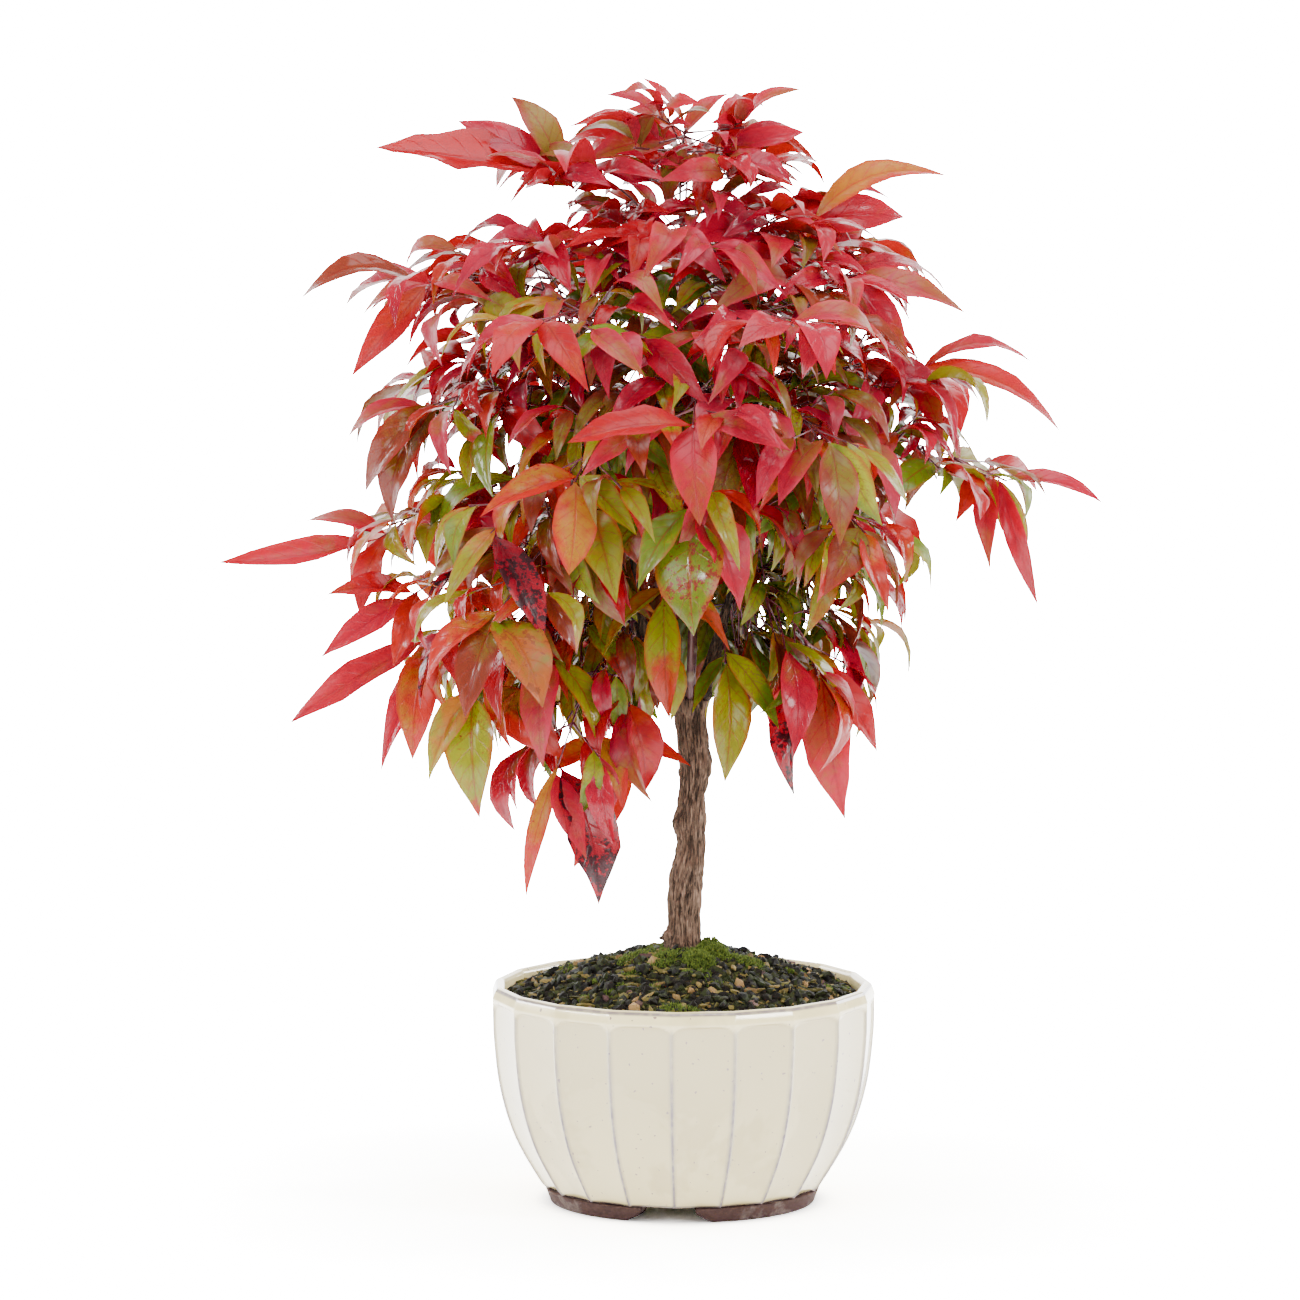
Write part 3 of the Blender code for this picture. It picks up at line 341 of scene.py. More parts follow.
# End leaflets that draw the crown's outline: bearing, pitch and length of each.
OUTLINE = {
    "spray_top": ((204, 48, 0.030), (24, 40, 0.027), (197, -12, 0.045), (262, -55, 0.040)),
    "spray_top_right": ((351, 16, 0.034), (333, -18, 0.036), (252, -42, 0.034)),
    "spray_top_left": ((181, 8, 0.072), (168, 24, 0.052), (140, 48, 0.040)),
    "spray_upper_right": ((355, 20, 0.060), (22, 2, 0.046), (80, 15, 0.036)),
    "spray_crest_right": ((352, -17, 0.048), (318, -46, 0.048), (25, -10, 0.048)),
    "spray_upper_left": ((180, -4, 0.050), (198, -48, 0.050), (150, -15, 0.044)),
    "spray_right_arm": ((12, 4, 0.050), (350, -20, 0.068), (300, -42, 0.040)),
    "spray_far_right": ((2, -13, 0.042), (345, -72, 0.056), (262, -62, 0.042), (50, -58, 0.042)),
    "spray_left_fall": ((172, -18, 0.036), (190, -50, 0.046), (210, -66, 0.056)),
    "spray_front_heart": ((192, -6, 0.052), (276, -58, 0.046), (345, -15, 0.042)),
    "spray_front_left": ((262, -66, 0.040), (197, -20, 0.044), (330, -40, 0.036)),
    "spray_front_right": ((285, -68, 0.044), (340, -55, 0.042), (220, -45, 0.036)),
    "spray_far_left": ((180, -8, 0.068), (160, 6, 0.038), (225, -64, 0.038)),
    "spray_left_low": ((183, -34, 0.044), (168, -2, 0.038), (235, -60, 0.034)),
    "spray_front_shield": ((272, -68, 0.052), (318, -60, 0.048), (215, -50, 0.042)),
    "spray_front_left_low": ((325, -58, 0.050), (215, -50, 0.040), (165, -40, 0.040)),
    "spray_skirt_left": ((181, -31, 0.066), (240, -72, 0.052), (192, -68, 0.066)),
    "spray_skirt_olive": ((285, -78, 0.052), (200, -60, 0.044), (340, -40, 0.048)),
    "spray_pendant_left": ((300, -52, 0.042), (325, -70, 0.060), (188, -76, 0.058)),
    "spray_pendant_front": ((186, -18, 0.036), (358, -24, 0.030), (196, -68, 0.060)),
    "spray_pendant_right": ((318, -78, 0.062), (352, -55, 0.044), (236, -73, 0.057)),
    "spray_fork_front": ((268, -78, 0.050), (190, -60, 0.028), (330, -50, 0.040)),
    "spray_trunk_leaf": ((280, -76, 0.052), (200, -45, 0.040), (345, -45, 0.038)),
    "spray_mottled": ((312, -42, 0.052), (230, -62, 0.046), (180, -45, 0.044)),
}

# Share of each tint among the leaves of a spray whose own tint is the first.
TINT_MIX = {
    "crimson": (("crimson", 0.48), ("rose", 0.27), ("bronze", 0.17), ("scarlet", 0.08)),
    "scarlet": (("scarlet", 0.48), ("crimson", 0.28), ("orange", 0.16), ("rose", 0.08)),
    "orange": (("orange", 0.46), ("olive", 0.22), ("crimson", 0.18), ("spotted", 0.14)),
    "bronze": (("bronze", 0.50), ("olive", 0.24), ("rose", 0.20), ("green", 0.06)),
    "olive": (("olive", 0.52), ("green", 0.26), ("orange", 0.08), ("bronze", 0.14)),
    "green": (("green", 0.50), ("olive", 0.34), ("bronze", 0.16)),
}
# The same by the height that a leaf hangs at: the crown is redder towards its top, where it also
# holds more of the rose leaves with painted sheen.
OWN_MIX = 0.35  # share of the leaves that keep to their spray's mix
LEVEL_MIX = (
    (0.204, (("crimson", 0.22), ("scarlet", 0.12), ("rose", 0.10), ("orange", 0.20),
             ("bronze", 0.12), ("olive", 0.14), ("turning", 0.10))),
    (0.273, (("crimson", 0.10), ("scarlet", 0.06), ("rose", 0.07), ("orange", 0.14),
             ("bronze", 0.20), ("olive", 0.25), ("green", 0.08), ("turning", 0.10))),
    (0.326, (("crimson", 0.13), ("scarlet", 0.04), ("rose", 0.08), ("orange", 0.10),
             ("bronze", 0.30), ("olive", 0.21), ("green", 0.08), ("turning", 0.06))),
    (0.389, (("crimson", 0.33), ("scarlet", 0.11), ("rose", 0.27), ("orange", 0.05),
             ("bronze", 0.16), ("olive", 0.06), ("turning", 0.02))),
    (0.500, (("crimson", 0.37), ("scarlet", 0.17), ("rose", 0.34), ("orange", 0.02),
             ("bronze", 0.10))),
)
# Tints of the leaves in the crown's shade, how far from the pot's axis that reaches, and the
# height that it ends at.
INNER_MIX = (("green", 0.34), ("olive", 0.40), ("bronze", 0.26))
INNER_REACH = 0.085
INNER_TOP = 0.385

# Tints of the outline's leaflets that differ from their spray, by place in OUTLINE.
OUTLINE_TINTS = {
    "spray_top": ("crimson", "crimson", "rose", "bronze"),
    "spray_top_right": ("rose", "scarlet", "scarlet"),
    "spray_top_left": ("scarlet", "rose", "bronze"),
    "spray_upper_right": ("orange", "crimson", "scarlet"),
    "spray_right_arm": ("crimson", "scarlet", "rose"),
    "spray_far_right": ("rose", "crimson", "crimson", "olive"),
    "spray_front_heart": ("scarlet", "crimson", "rose"),
    "spray_front_left": ("orange", "orange", "olive"),
    "spray_front_right": ("bronze", "green", "rose"),
    "spray_front_shield": ("mottled", "crimson", "green"),
    "spray_front_left_low": ("spotted", "olive", "bronze"),
    "spray_far_left": ("crimson", "crimson", "scarlet"),
    "spray_left_low": ("crimson", "scarlet", "orange"),
    "spray_skirt_left": ("crimson", "orange", "crimson"),
    "spray_skirt_olive": ("turning", "olive", "orange"),
    "spray_pendant_left": ("crimson", "spotted", "orange"),
    "spray_pendant_front": ("orange", "scarlet", "orange"),
    "spray_pendant_right": ("crimson", "scarlet", "spotted"),
    "spray_mottled": ("mottled", "bronze", "orange"),
    "spray_trunk_leaf": ("turning", "olive", "turning"),
    "spray_fork_front": ("olive", "green", "green"),
}
# Widths of the outline's leaflets beside the solids' blades, where they are not OUTLINE_WIDTH.
OUTLINE_WIDTH = 0.78
OUTLINE_WIDTHS = {
    "spray_top_left": (0.90, 0.70, 0.9),
    "spray_upper_right": (0.68, 0.9, 0.8),
    "spray_right_arm": (0.62, 0.56, 0.8),
    "spray_far_right": (0.5, 0.34, 0.6, 0.6),
    "spray_front_heart": (0.66, 0.98, 0.7),
    "spray_front_left": (0.98, 0.7, 0.7),
    "spray_front_right": (0.95, 0.8, 0.8),
    "spray_front_shield": (1.32, 1.0, 0.8),
    "spray_front_left_low": (0.66, 0.6, 0.7),
    "spray_far_left": (0.5, 0.7, 0.9),
    "spray_skirt_left": (0.6, 0.8, 0.42),
    "spray_skirt_olive": (0.9, 0.7, 0.9),
    "spray_pendant_left": (0.7, 0.98, 0.36),
    "spray_mottled": (1.2, 0.9, 0.8),
    "spray_trunk_leaf": (0.8, 0.8, 0.7),
}
# Arch of the outline's leaflets beside the solids' blades, where it differs.
OUTLINE_BOWS = {
    "spray_top_left": (-0.3, 0.6, 1.0),
    "spray_upper_right": (2.2, 1.0, 1.0),
    "spray_right_arm": (1.5, 1.9, 1.0),
    "spray_far_left": (-0.4, 1.0, 1.0),
    "spray_left_low": (0.3, 1.0, 1.0),
    "spray_skirt_left": (0.1, 1.0, 1.0),
}

# Leaf finishes: main colour, second colour, rim and spots; then the share of the second colour
# and of the spots, and how far the second colour keeps to the tip.
LEAF_FINISHES = {
    "crimson": ((0.374, 0.003, 0.025), (0.246, 0.071, 0.015), (0.438, 0.002, 0.030),
                (0.110, 0.005, 0.011), 0.33, 0.12, 0.0),
    # Next: crimson leaves of a dusty rose, with the softboxes' pink sheen painted into their
    # colour.
    "rose": ((0.374, 0.013, 0.041), (0.243, 0.112, 0.018), (0.430, 0.007, 0.041),
             (0.150, 0.011, 0.020), 0.38, 0.08, 0.0),
    "scarlet": ((0.364, 0.002, 0.009), (0.326, 0.044, 0.007), (0.299, 0.002, 0.013),
                (0.150, 0.005, 0.008), 0.28, 0.14, 0.0),
    "orange": ((0.410, 0.021, 0.011), (0.319, 0.198, 0.011), (0.380, 0.005, 0.013),
               (0.240, 0.011, 0.008), 0.42, 0.25, 0.0),
    "bronze": ((0.232, 0.039, 0.015), (0.189, 0.159, 0.012), (0.310, 0.010, 0.015),
               (0.130, 0.014, 0.011), 0.46, 0.2, 0.0),
    "olive": ((0.258, 0.244, 0.012), (0.396, 0.115, 0.014), (0.386, 0.026, 0.014),
              (0.190, 0.026, 0.011), 0.34, 0.3, 0.0),
    "green": ((0.148, 0.204, 0.013), (0.328, 0.307, 0.016), (0.340, 0.050, 0.016),
              (0.160, 0.029, 0.011), 0.34, 0.24, 0.0),
    "turning": ((0.267, 0.275, 0.009), (0.456, 0.015, 0.017), (0.404, 0.024, 0.015),
                (0.190, 0.017, 0.011), 0.42, 0.25, 1.5),
    "spotted": ((0.321, 0.003, 0.017), (0.189, 0.003, 0.014), (0.284, 0.004, 0.016),
                (0.016, 0.004, 0.007), 0.4, 0.8, 0.0),
    "mottled": ((0.149, 0.194, 0.010), (0.342, 0.052, 0.015), (0.360, 0.015, 0.016),
                (0.220, 0.017, 0.014), 0.4, 0.6, 0.0),
}
# Slots of the tints that the solids have no slot of their own for.
TINT_SLOTS = {"rose": "crimson", "spotted": "crimson", "mottled": "bronze", "turning": "orange"}

# Stage. Softboxes: name, place, width, height and power.
LIGHTS = (
    ("overhead", (0.1, -0.3, 2.0), 1.5, 1.5, 54.0),
    ("front left", (-1.7, -1.9, 1.2), 1.0, 1.0, 29.0),
    ("front right", (1.4, -2.2, 1.3), 1.0, 1.0, 30.0),
    ("key right", (2.0, -1.25, 1.45), 0.45, 0.45, 36.0),
    ("key left", (-2.0, -1.0, 1.4), 0.3, 0.3, 22.0),
    ("strip left", (-1.6, 0.45, 0.6), 0.14, 1.3, 26.0),
    ("strip right", (1.6, 0.55, 0.6), 0.14, 1.3, 26.0),
    ("back left", (-1.7, 1.4, 1.0), 0.8, 0.8, 36.0),
    ("back right", (1.7, 1.4, 1.0), 0.8, 0.8, 36.0),
    ("backdrop", (0.0, 3.0, 1.0), 3.0, 3.0, 165.0),
)
LIGHT_AIM = 0.25
CAMERA_PLACE = (-0.0135, -3.5, 0.6613)  # from the foot of the pot's axis
CAMERA_FALL = 7.013  # degrees below level
FLOOR_SIZE = 80.0
# Inside the first glow, under the pot, the floor is left dim for the eye as painted shade.
FLOOR_GLOW = ((0.050, 0.064), (0.06, 1.2))  # where each of its two glows starts and is full
FLOOR_REFLECTED = 0.5  # share of the first glow that a glossy face mirrors
FLOOR_OWN_LIGHT = 10
SKY_GLOW = 40.0


# Settings


class PotSettings(bpy.types.PropertyGroup):
    """Sizes and colours of the bowl and its feet."""

    flute_depth: FloatProperty(
        name="Flute depth", description="How far the middle of a panel lies inside its ridges",
        default=0.0022, min=0.0, max=0.004, precision=4, unit="LENGTH")
    rim_wave: FloatProperty(
        name="Rim wave", description="How far the lip draws in between two ridges",
        default=0.0011, min=0.0, max=0.002, precision=4, unit="LENGTH")
    glaze: FloatVectorProperty(
        name="Glaze", description="Colour of the glaze where it lies thick",
        default=(0.86, 0.738, 0.368), subtype="COLOR", min=0.0, max=1.0)
    thin_glaze: FloatVectorProperty(
        name="Thin glaze", description="Colour along the ridges, where the glaze has run thin",
        default=(0.15, 0.115, 0.13), subtype="COLOR", min=0.0, max=1.0)
    clay: FloatVectorProperty(
        name="Clay", description="Colour of the bare clay feet",
        default=(0.038, 0.020, 0.018), subtype="COLOR", min=0.0, max=1.0)


class GroundSettings(bpy.types.PropertyGroup):
    """What lies in the bowl."""

    chips: IntProperty(
        name="Chips", description="Number of dark chips on the soil", default=2600, min=0)
    slivers: IntProperty(
        name="Slivers", description="Number of slivers of bark and straw", default=1050, min=0)
    pebbles: IntProperty(
        name="Pebbles", description="Number of tan and mauve pebbles", default=130, min=0)
    moss_shoots: IntProperty(
        name="Moss shoots", description="Number of shoots that the moss holds", default=9000, min=0)
    moss: FloatVectorProperty(
        name="Moss", description="Colour of the moss", default=(0.061, 0.094, 0.011),
        subtype="COLOR", min=0.0, max=1.0)


class WoodSettings(bpy.types.PropertyGroup):
    """Bark and canes."""

    furrow_depth: FloatProperty(
        name="Furrow depth", description="Depth of the furrows in the trunk's bark",
        default=0.00085, min=0.0, max=0.002, precision=5, unit="LENGTH")
    bark: FloatVectorProperty(
        name="Bark", description="Colour of the bark's ridges", default=(0.180, 0.112, 0.076),
        subtype="COLOR", min=0.0, max=1.0)
    cane: FloatVectorProperty(
        name="Canes", description="Colour of the young canes", default=(0.045, 0.014, 0.013),
        subtype="COLOR", min=0.0, max=1.0)


class FoliageSettings(bpy.types.PropertyGroup):
    """Stalks and leaves."""

    stalk_radius: FloatProperty(
        name="Stalk radius", description="Radius of a leaf stalk at its tip",
        default=0.00036, min=0.0002, max=0.001, precision=5, unit="LENGTH")
    leaf_thickness: FloatProperty(
        name="Leaf thickness", description="Thickness of a leaf at its midrib",
        default=0.00045, min=0.0001, max=0.001, precision=5, unit="LENGTH")
    stalk: FloatVectorProperty(
        name="Stalks", description="Colour of the leaf stalks", default=(0.13, 0.010, 0.018),
        subtype="COLOR", min=0.0, max=1.0)


class StageSettings(bpy.types.PropertyGroup):
    """Floor, light and camera."""

    lens: FloatProperty(
        name="Lens", description="Focal length of the camera", default=0.2357,
        min=0.05, max=1.0, unit="LENGTH")
    surround: FloatProperty(
        name="Surround", description="Brightness of the white surround", default=1.10, min=0.0)
    glow: FloatProperty(
        name="Glow", description="How much brighter the floor and surround are for the eye alone",
        default=4.2, min=0.0)
    floor: FloatVectorProperty(
        name="Floor", description="Colour of the floor", default=(0.93, 0.93, 0.93),
        subtype="COLOR", min=0.0, max=1.0)


# Meshes


def new_piece(name, verts, faces, sharp_edge=None):
    """A smooth mesh object at the origin, from points in the plant's frame."""
    mesh = bpy.data.meshes.new(name)
    mesh.from_pydata([POT_AXIS + Vector(v) for v in verts], [], faces)
    mesh.shade_smooth()
    if sharp_edge:
        mesh.set_sharp_from_angle(angle=math.radians(sharp_edge))
    piece = bpy.data.objects.new(name, mesh)
    bpy.context.scene.collection.objects.link(piece)
    return piece


def spin_profile(name, profile, bearing, turn, steps):
    """Turns a closed profile of radius and height about the pot's axis, as on a wheel."""
    start = turned(bearing)
    mesh = bpy.data.meshes.new(name)
    points = [POT_AXIS + start * r + UP * z for r, z in profile]
    count = len(points)
    mesh.from_pydata(points, [(i, (i + 1) % count) for i in range(count)], [])
    piece = bpy.data.objects.new(name, mesh)
    bpy.context.scene.collection.objects.link(piece)
    bpy.ops.object.select_all(action="DESELECT")
    piece.select_set(True)
    bpy.context.view_layer.objects.active = piece
    bpy.ops.object.mode_set(mode="EDIT")
    bpy.ops.mesh.select_all(action="SELECT")
    # With no window, a spin turns clockwise about its axis.
    bpy.ops.mesh.spin(steps=steps, angle=-math.radians(turn), center=POT_AXIS, axis=UP)
    bpy.ops.mesh.select_all(action="SELECT")
    bpy.ops.mesh.remove_doubles(threshold=1e-6)
    if turn < 360:
        bpy.ops.mesh.select_all(action="DESELECT")
        bpy.ops.mesh.select_non_manifold()
        bpy.ops.mesh.edge_face_add()
        bpy.ops.mesh.select_all(action="SELECT")
    bpy.ops.mesh.normals_make_consistent(inside=False)
    bpy.ops.object.mode_set(mode="OBJECT")
    piece.data.shade_smooth()
    return piece


def heap_up(verts, faces, more_verts, more_faces):
    """Adds a shape's points and faces to those of others."""
    base = len(verts)
    verts.extend(more_verts)
    faces.extend(tuple(base + i for i in face) for face in more_faces)


def clamped(value):
    return max(0.0, min(1.0, value))


def set_values(piece, name, values, domain="POINT"):
    """Keeps a number for each point or face, for the piece's finish to read."""
    attribute = piece.data.attributes.new(name, "FLOAT", domain)
    attribute.data.foreach_set("value", values)


def dress(piece, material, *nodes, slot=None):
    """Gives a piece its finish, hangs it from the root body and hides the solids that it stands
    for.
    """
    piece.data.materials.clear()
    piece.data.materials.append(material)
    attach(piece, "root")
    if nodes:
        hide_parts(*nodes)


# Geometry shared with the solids


def turned(bearing, pitch=0.0):
    """The unit direction at a bearing and a pitch above level, both in degrees."""
    level = math.cos(math.radians(pitch))
    angle = math.radians(bearing)
    return Vector((level * math.cos(angle), level * math.sin(angle), math.sin(math.radians(pitch))))


def ring_faces(rings, count):
    faces = []
    for i in range(rings - 1):
        below, above = i * count, (i + 1) * count
        for k in range(count):
            after = (k + 1) % count
            faces.append((below + k, below + after, above + after, above + k))
    return faces


def tube(points, radii, sides):
    """A closed tube through the points: its own points and faces, wound outwards."""
    last = len(points) - 1
    verts = []
    across = None
    for i, (point, radius) in enumerate(zip(points, radii)):
        along = (points[min(i + 1, last)] - points[max(i - 1, 0)]).normalized()
        across = along.orthogonal() if across is None else across
        across = (across - along * across.dot(along)).normalized()
        over = along.cross(across)
        for k in range(sides):
            angle = math.tau * k / sides
            verts.append(point + (across * math.cos(angle) + over * math.sin(angle)) * radius)
    faces = ring_faces(last + 1, sides)
    faces.append(tuple(reversed(range(sides))))
    faces.append(tuple(last * sides + k for k in range(sides)))
    return verts, faces


def smooth_path(places, steps):
    """Points of a smooth curve through the places, steps to each stretch."""
    places = [Vector(p) for p in places]
    path = []
    for i in range(len(places) - 1):
        p1, p2 = places[i], places[i + 1]
        p0 = places[i - 1] if i else p1 * 2 - p2
        p3 = places[i + 2] if i + 2 < len(places) else p2 * 2 - p1
        for k in range(steps):
            t = k / steps
            path.append(
                (p1 * 2 + (p2 - p0) * t + (p0 * 2 - p1 * 5 + p2 * 4 - p3) * t**2
                 + (p1 * 3 - p0 - p2 * 3 + p3) * t**3) / 2
            )
    path.append(places[-1])
    return path


def tapered(count, root, tip):
    return [root + (tip - root) * i / (count - 1) for i in range(count)]


def soil_height(radius):
    share = max(0.0, (radius - SOIL_FLAT_RADIUS) / (SOIL_RADIUS - SOIL_FLAT_RADIUS))
    return SOIL_EDGE + (SOIL_TOP - SOIL_EDGE) * (1 - share**SOIL_FALL)


def ground_at(place):
    """Height of the lumpy soil at a place."""
    radius = math.hypot(place[0], place[1])
    fade = min(1.0, (radius - MOSS_OUTER) / LUMP_FADE, (SOIL_RADIUS - radius) / LUMP_FADE)
    across = math.sin(math.tau * place[0] / LUMP_SPACING + LUMP_PHASE)
    back = math.cos(math.tau * place[1] / LUMP_SPACING)
    return soil_height(radius) + max(0.0, fade) * (SOIL_RISE + SOIL_LUMP * across * back)


def limb_at(limb, height):
    """Centre and radius of a limb at a height, and its direction there."""
    points, radii = limb
    for i in range(len(points) - 1):
        low, high = points[i], points[i + 1]
        if height <= high.z or i == len(points) - 2:
            share = clamped((height - low.z) / (high.z - low.z))
            along = (high - low).normalized()
            return low.lerp(high, share), radii[i] + (radii[i + 1] - radii[i]) * share, along
    raise ValueError("a limb has at least two points")


def leave(limb, height, bearing):
    """Where a stem starts beside a limb, 0.3 mm clear, and which way it sets off."""
    centre, radius, along = limb_at(limb, height)
    if height >= limb[0][-1].z:
        return limb[0][-1] + along * SEAT_GAP, along
    out = turned(bearing)
    out = (out - along * out.dot(along)).normalized()
    return centre + out * (radius + SEAT_GAP), out


def limb_paths():
    """Every limb's points and radii, by name."""
    limbs = {}
    for name, (root, tip, places) in LIMBS.items():
        path = smooth_path(places, LIMB_STEPS)
        path.insert(1, path[0] + UP * LIMB_LEAD)
        limbs[name] = (path, tapered(len(path), root, tip))
    for name, (parent, height, bearing, root, tip, places) in BRANCHES.items():
        start, out = leave(limbs[parent], height, bearing)
        path = smooth_path([start + out * LEAD_OUT, *places], LIMB_STEPS)
        path.insert(0, start)
        limbs[name] = (path, tapered(len(path), root, tip))
    return limbs


def blade(root, way, normal, length, width, bow, grow=0.0, start=0.0):
    """The plain blade that a leaf's room is tested with."""
    side = normal.cross(way).normalized()
    normal = way.cross(side).normalized()
    half = LEAF_THICKNESS / 2 + grow
    neck = LEAF_NECK / 2 + grow

    def place(along, across, lift=0.0):
        along = start + (1 - start) * along
        edge = across * (width / 2 + grow)
        rise = bow * length * 4 * along * (1 - along) + abs(edge) * LEAF_FOLD + lift
        return root + way * (length * along) + side * edge + normal * rise

    verts = [place(0, 0, neck), place(0, 0, -neck), place(LEAF_WIDEST, 1),
             place(1, 0), place(LEAF_WIDEST, -1),
             place(LEAF_MIDDLE, 0, half), place(LEAF_MIDDLE, 0, -half)]
    upper, under = 5, 6
    rim = (0, 4, 3, 2, 0)
    faces = [(a, b, upper) for a, b in zip(rim, rim[1:])]
    rim = (1, 4, 3, 2, 1)
    faces += [(b, a, under) for a, b in zip(rim, rim[1:])]
    faces += [(0, 1, 4), (1, 0, 2)]
    return verts, faces


class Space:
    """What the limbs and the sprays take up, so that each spray keeps to its own space."""

    def __init__(self):
        self.taken = []

    def add(self, owner, verts, faces, kind):
        self.taken.append((owner, kind, self.box(verts), BVHTree.FromPolygons(verts, faces)))

    @staticmethod
    def box(verts):
        return [(min(v[i] for v in verts), max(v[i] for v in verts)) for i in range(3)]

    def free(self, owner, verts, faces, kind="any"):
        """Whether the shape meets nothing of other owners, or for "own leaf" none of its own."""
        low_high = self.box(verts)
        if low_high[2][0] < LOWEST_LEAF:
            return False
        tree = None
        for other, other_kind, box, other_tree in self.taken:
            own = other == owner
            if own != (kind == "own leaf") or (own and other_kind != kind):
                continue
            if any(a[0] > b[1] or b[0] > a[1] for a, b in zip(low_high, box)):
                continue
            tree = tree or BVHTree.FromPolygons(verts, faces)
            if tree.overlap(other_tree):
                return False
        return True


class Spray:
    """One mass of foliage: a compound leaf of pinnae and leaflets on one stem."""

    def __init__(self, name, index, row, limbs):
        (limb, height, bearing, reach, end_height, self.pairs, self.length, self.pitch,
         self.tint) = row
        self.name = name
        self.dice = random.Random(SEED + index)
        self.end = turned(bearing) * reach + UP * end_height
        centre = limb_at(limbs[limb], height)[0]
        level = self.end - centre
        self.bearing = math.degrees(math.atan2(level.y, level.x))
        self.start, self.out = leave(limbs[limb], height, self.bearing)
        self.stem = []
        self.pinnae = []
        self.stalks = []
        self.leaves = []

    def stem_path(self, swing):
        """An arching stem from the limb to the end node, swung sideways by some degrees."""
        first = self.start + self.out * LEAD_OUT
        span = self.end - first
        level = Vector((span.x, span.y, 0)).length
        crown = first + Matrix.Rotation(math.radians(swing), 3, "Z") @ (span * 0.5)
        crown.z = max(first.z, self.end.z) + ARCH * level
        path = [self.start]
        for i in range(STEM_STEPS + 1):
            t = i / STEM_STEPS
            path.append(first * (1 - t) ** 2 + crown * (2 * t * (1 - t)) + self.end * t**2)
        return path

    def grow_stem(self, space):
        for swing in SWINGS:
            path = self.stem_path(swing)
            count = len(path)
            thick = [r + CLEARANCE for r in tapered(count, STEM_RADIUS, TWIG_RADIUS)]
            if space.free(self.name, *tube(path[2:], thick[2:], TWIG_SIDES)):
                break
        else:
            raise ValueError(f"{self.name} has no room for its stem")
        self.stem = path
        self.stalks.append(path)
        space.add(self.name, *tube(path, tapered(count, STEM_RADIUS, TWIG_RADIUS), TWIG_SIDES),
                  "twig")

    def grow_pinnae(self, space, places, fine=False, reach=1.0, lift=0):
        """Pairs of side stalks, each with a joint where its leaflets sit."""
        thick = [TWIG_RADIUS + (FINE_CLEARANCE if fine else CLEARANCE)] * 2
        grown = []
        for share in places:
            at = share * (len(self.stem) - 1)
            low = int(at)
            root = self.stem[low].lerp(self.stem[low + 1], at - low)
            along = self.stem[low + 1] - self.stem[low]
            heading = math.degrees(math.atan2(along.y, along.x))
            for side in (1, -1):
                length = PINNA_LENGTH * self.dice.uniform(0.8, 1.15) * reach
                spread = PINNA_SPREAD + self.dice.uniform(-10, 10)
                fall = self.pitch * 0.5 + self.dice.uniform(-8, 12) + lift
                for attempt in range(TRIES):
                    bearing = heading + side * (spread - PINNA_TURN * attempt)
                    way = turned(bearing, fall + PINNA_LIFT * attempt)
                    tip = root + way * length * (1 - PINNA_SHRINK * attempt)
                    path = [root, tip]
                    if space.free(self.name, *tube(path, thick, TWIG_SIDES)):
                        self.stalks.append(path)
                        space.add(self.name, *tube(path, [TWIG_RADIUS] * 2, TWIG_SIDES), "twig")
                        grown.append((tip, way, bearing))
                        break
        return grown

    def leaflets(self, heading, size=1.0):
        """The three leaflets that a joint bears: bearing, pitch and length of each."""
        rows = []
        for turn, share in ((0, 1.0), (1, SIDE_LEAFLET), (-1, SIDE_LEAFLET)):
            rows.append((heading + turn * (LEAFLET_SPREAD + self.dice.uniform(-12, 12)),
                         self.pitch + self.dice.uniform(-14, 14),
                         self.length * share * self.dice.uniform(0.85, 1.1) * size))
        return rows

    def grow_leaf(self, space, node, row, outline, fine, look):
        """Sets one leaf on its joint, turning and shortening it until it has room."""
        bearing, pitch, length = row
        width = LEAF_WIDTH * self.dice.uniform(0.88, 1.12)
        if fine:
            width *= FINE_WIDTH
        clearance = FINE_CLEARANCE if fine else CLEARANCE
        bow = LEAF_BOW * self.dice.uniform(0.5, 1.4)
        loose = Vector([self.dice.uniform(-LEAF_LOOSE, LEAF_LOOSE) for _ in range(3)])
        outward = Vector((node.x, node.y, 0)).normalized() * LEAN_OUT
        face = UP + loose + (FRONT * LEAN_FRONT if outline else outward)
        for attempt in range(TRIES):
            size = length * (1 - SHRINK * attempt)
            way = turned(bearing + TURNS[attempt], pitch + TILTS[attempt])
            normal = (face - way * face.dot(way)).normalized()
            form = (node - way * ROOT_SINK, way, normal, size, size * width, bow)
            if not space.free(self.name, *blade(*form, grow=clearance)):
                continue
            outer = blade(*form, start=LEAF_OVERLAP)
            if not space.free(self.name, *outer, kind="own leaf"):
                continue
            self.leaves.append((form, look))
            space.add(self.name, *blade(*form), "leaf")
            space.add(self.name, *outer, "own leaf")
            return


def outline_look(name, k):
    """Tint, width and arch of one of the outline's leaflets."""
    def own(table, usual):
        row = table.get(name, ())
        return row[k] if k < len(row) else usual

    return own(OUTLINE_TINTS, None), own(OUTLINE_WIDTHS, OUTLINE_WIDTH), own(OUTLINE_BOWS, 1.0)


def grow_leaves(space, joints, outline=False, fine=False):
    """One leaflet of each joint in turn, then the next of each."""
    waiting = []
    for spray, tip, along, rows in joints:
        for k, row in enumerate(rows):
            look = outline_look(spray.name, k) if outline else (None, 1.0 if fine else None, 1.0)
            waiting.append((k, spray, tip - along * JOINT_STEPS[k], row, look))
    waiting.sort(key=lambda item: item[0])
    for _, spray, node, row, look in waiting:
        spray.grow_leaf(space, node, row, outline, fine, look)


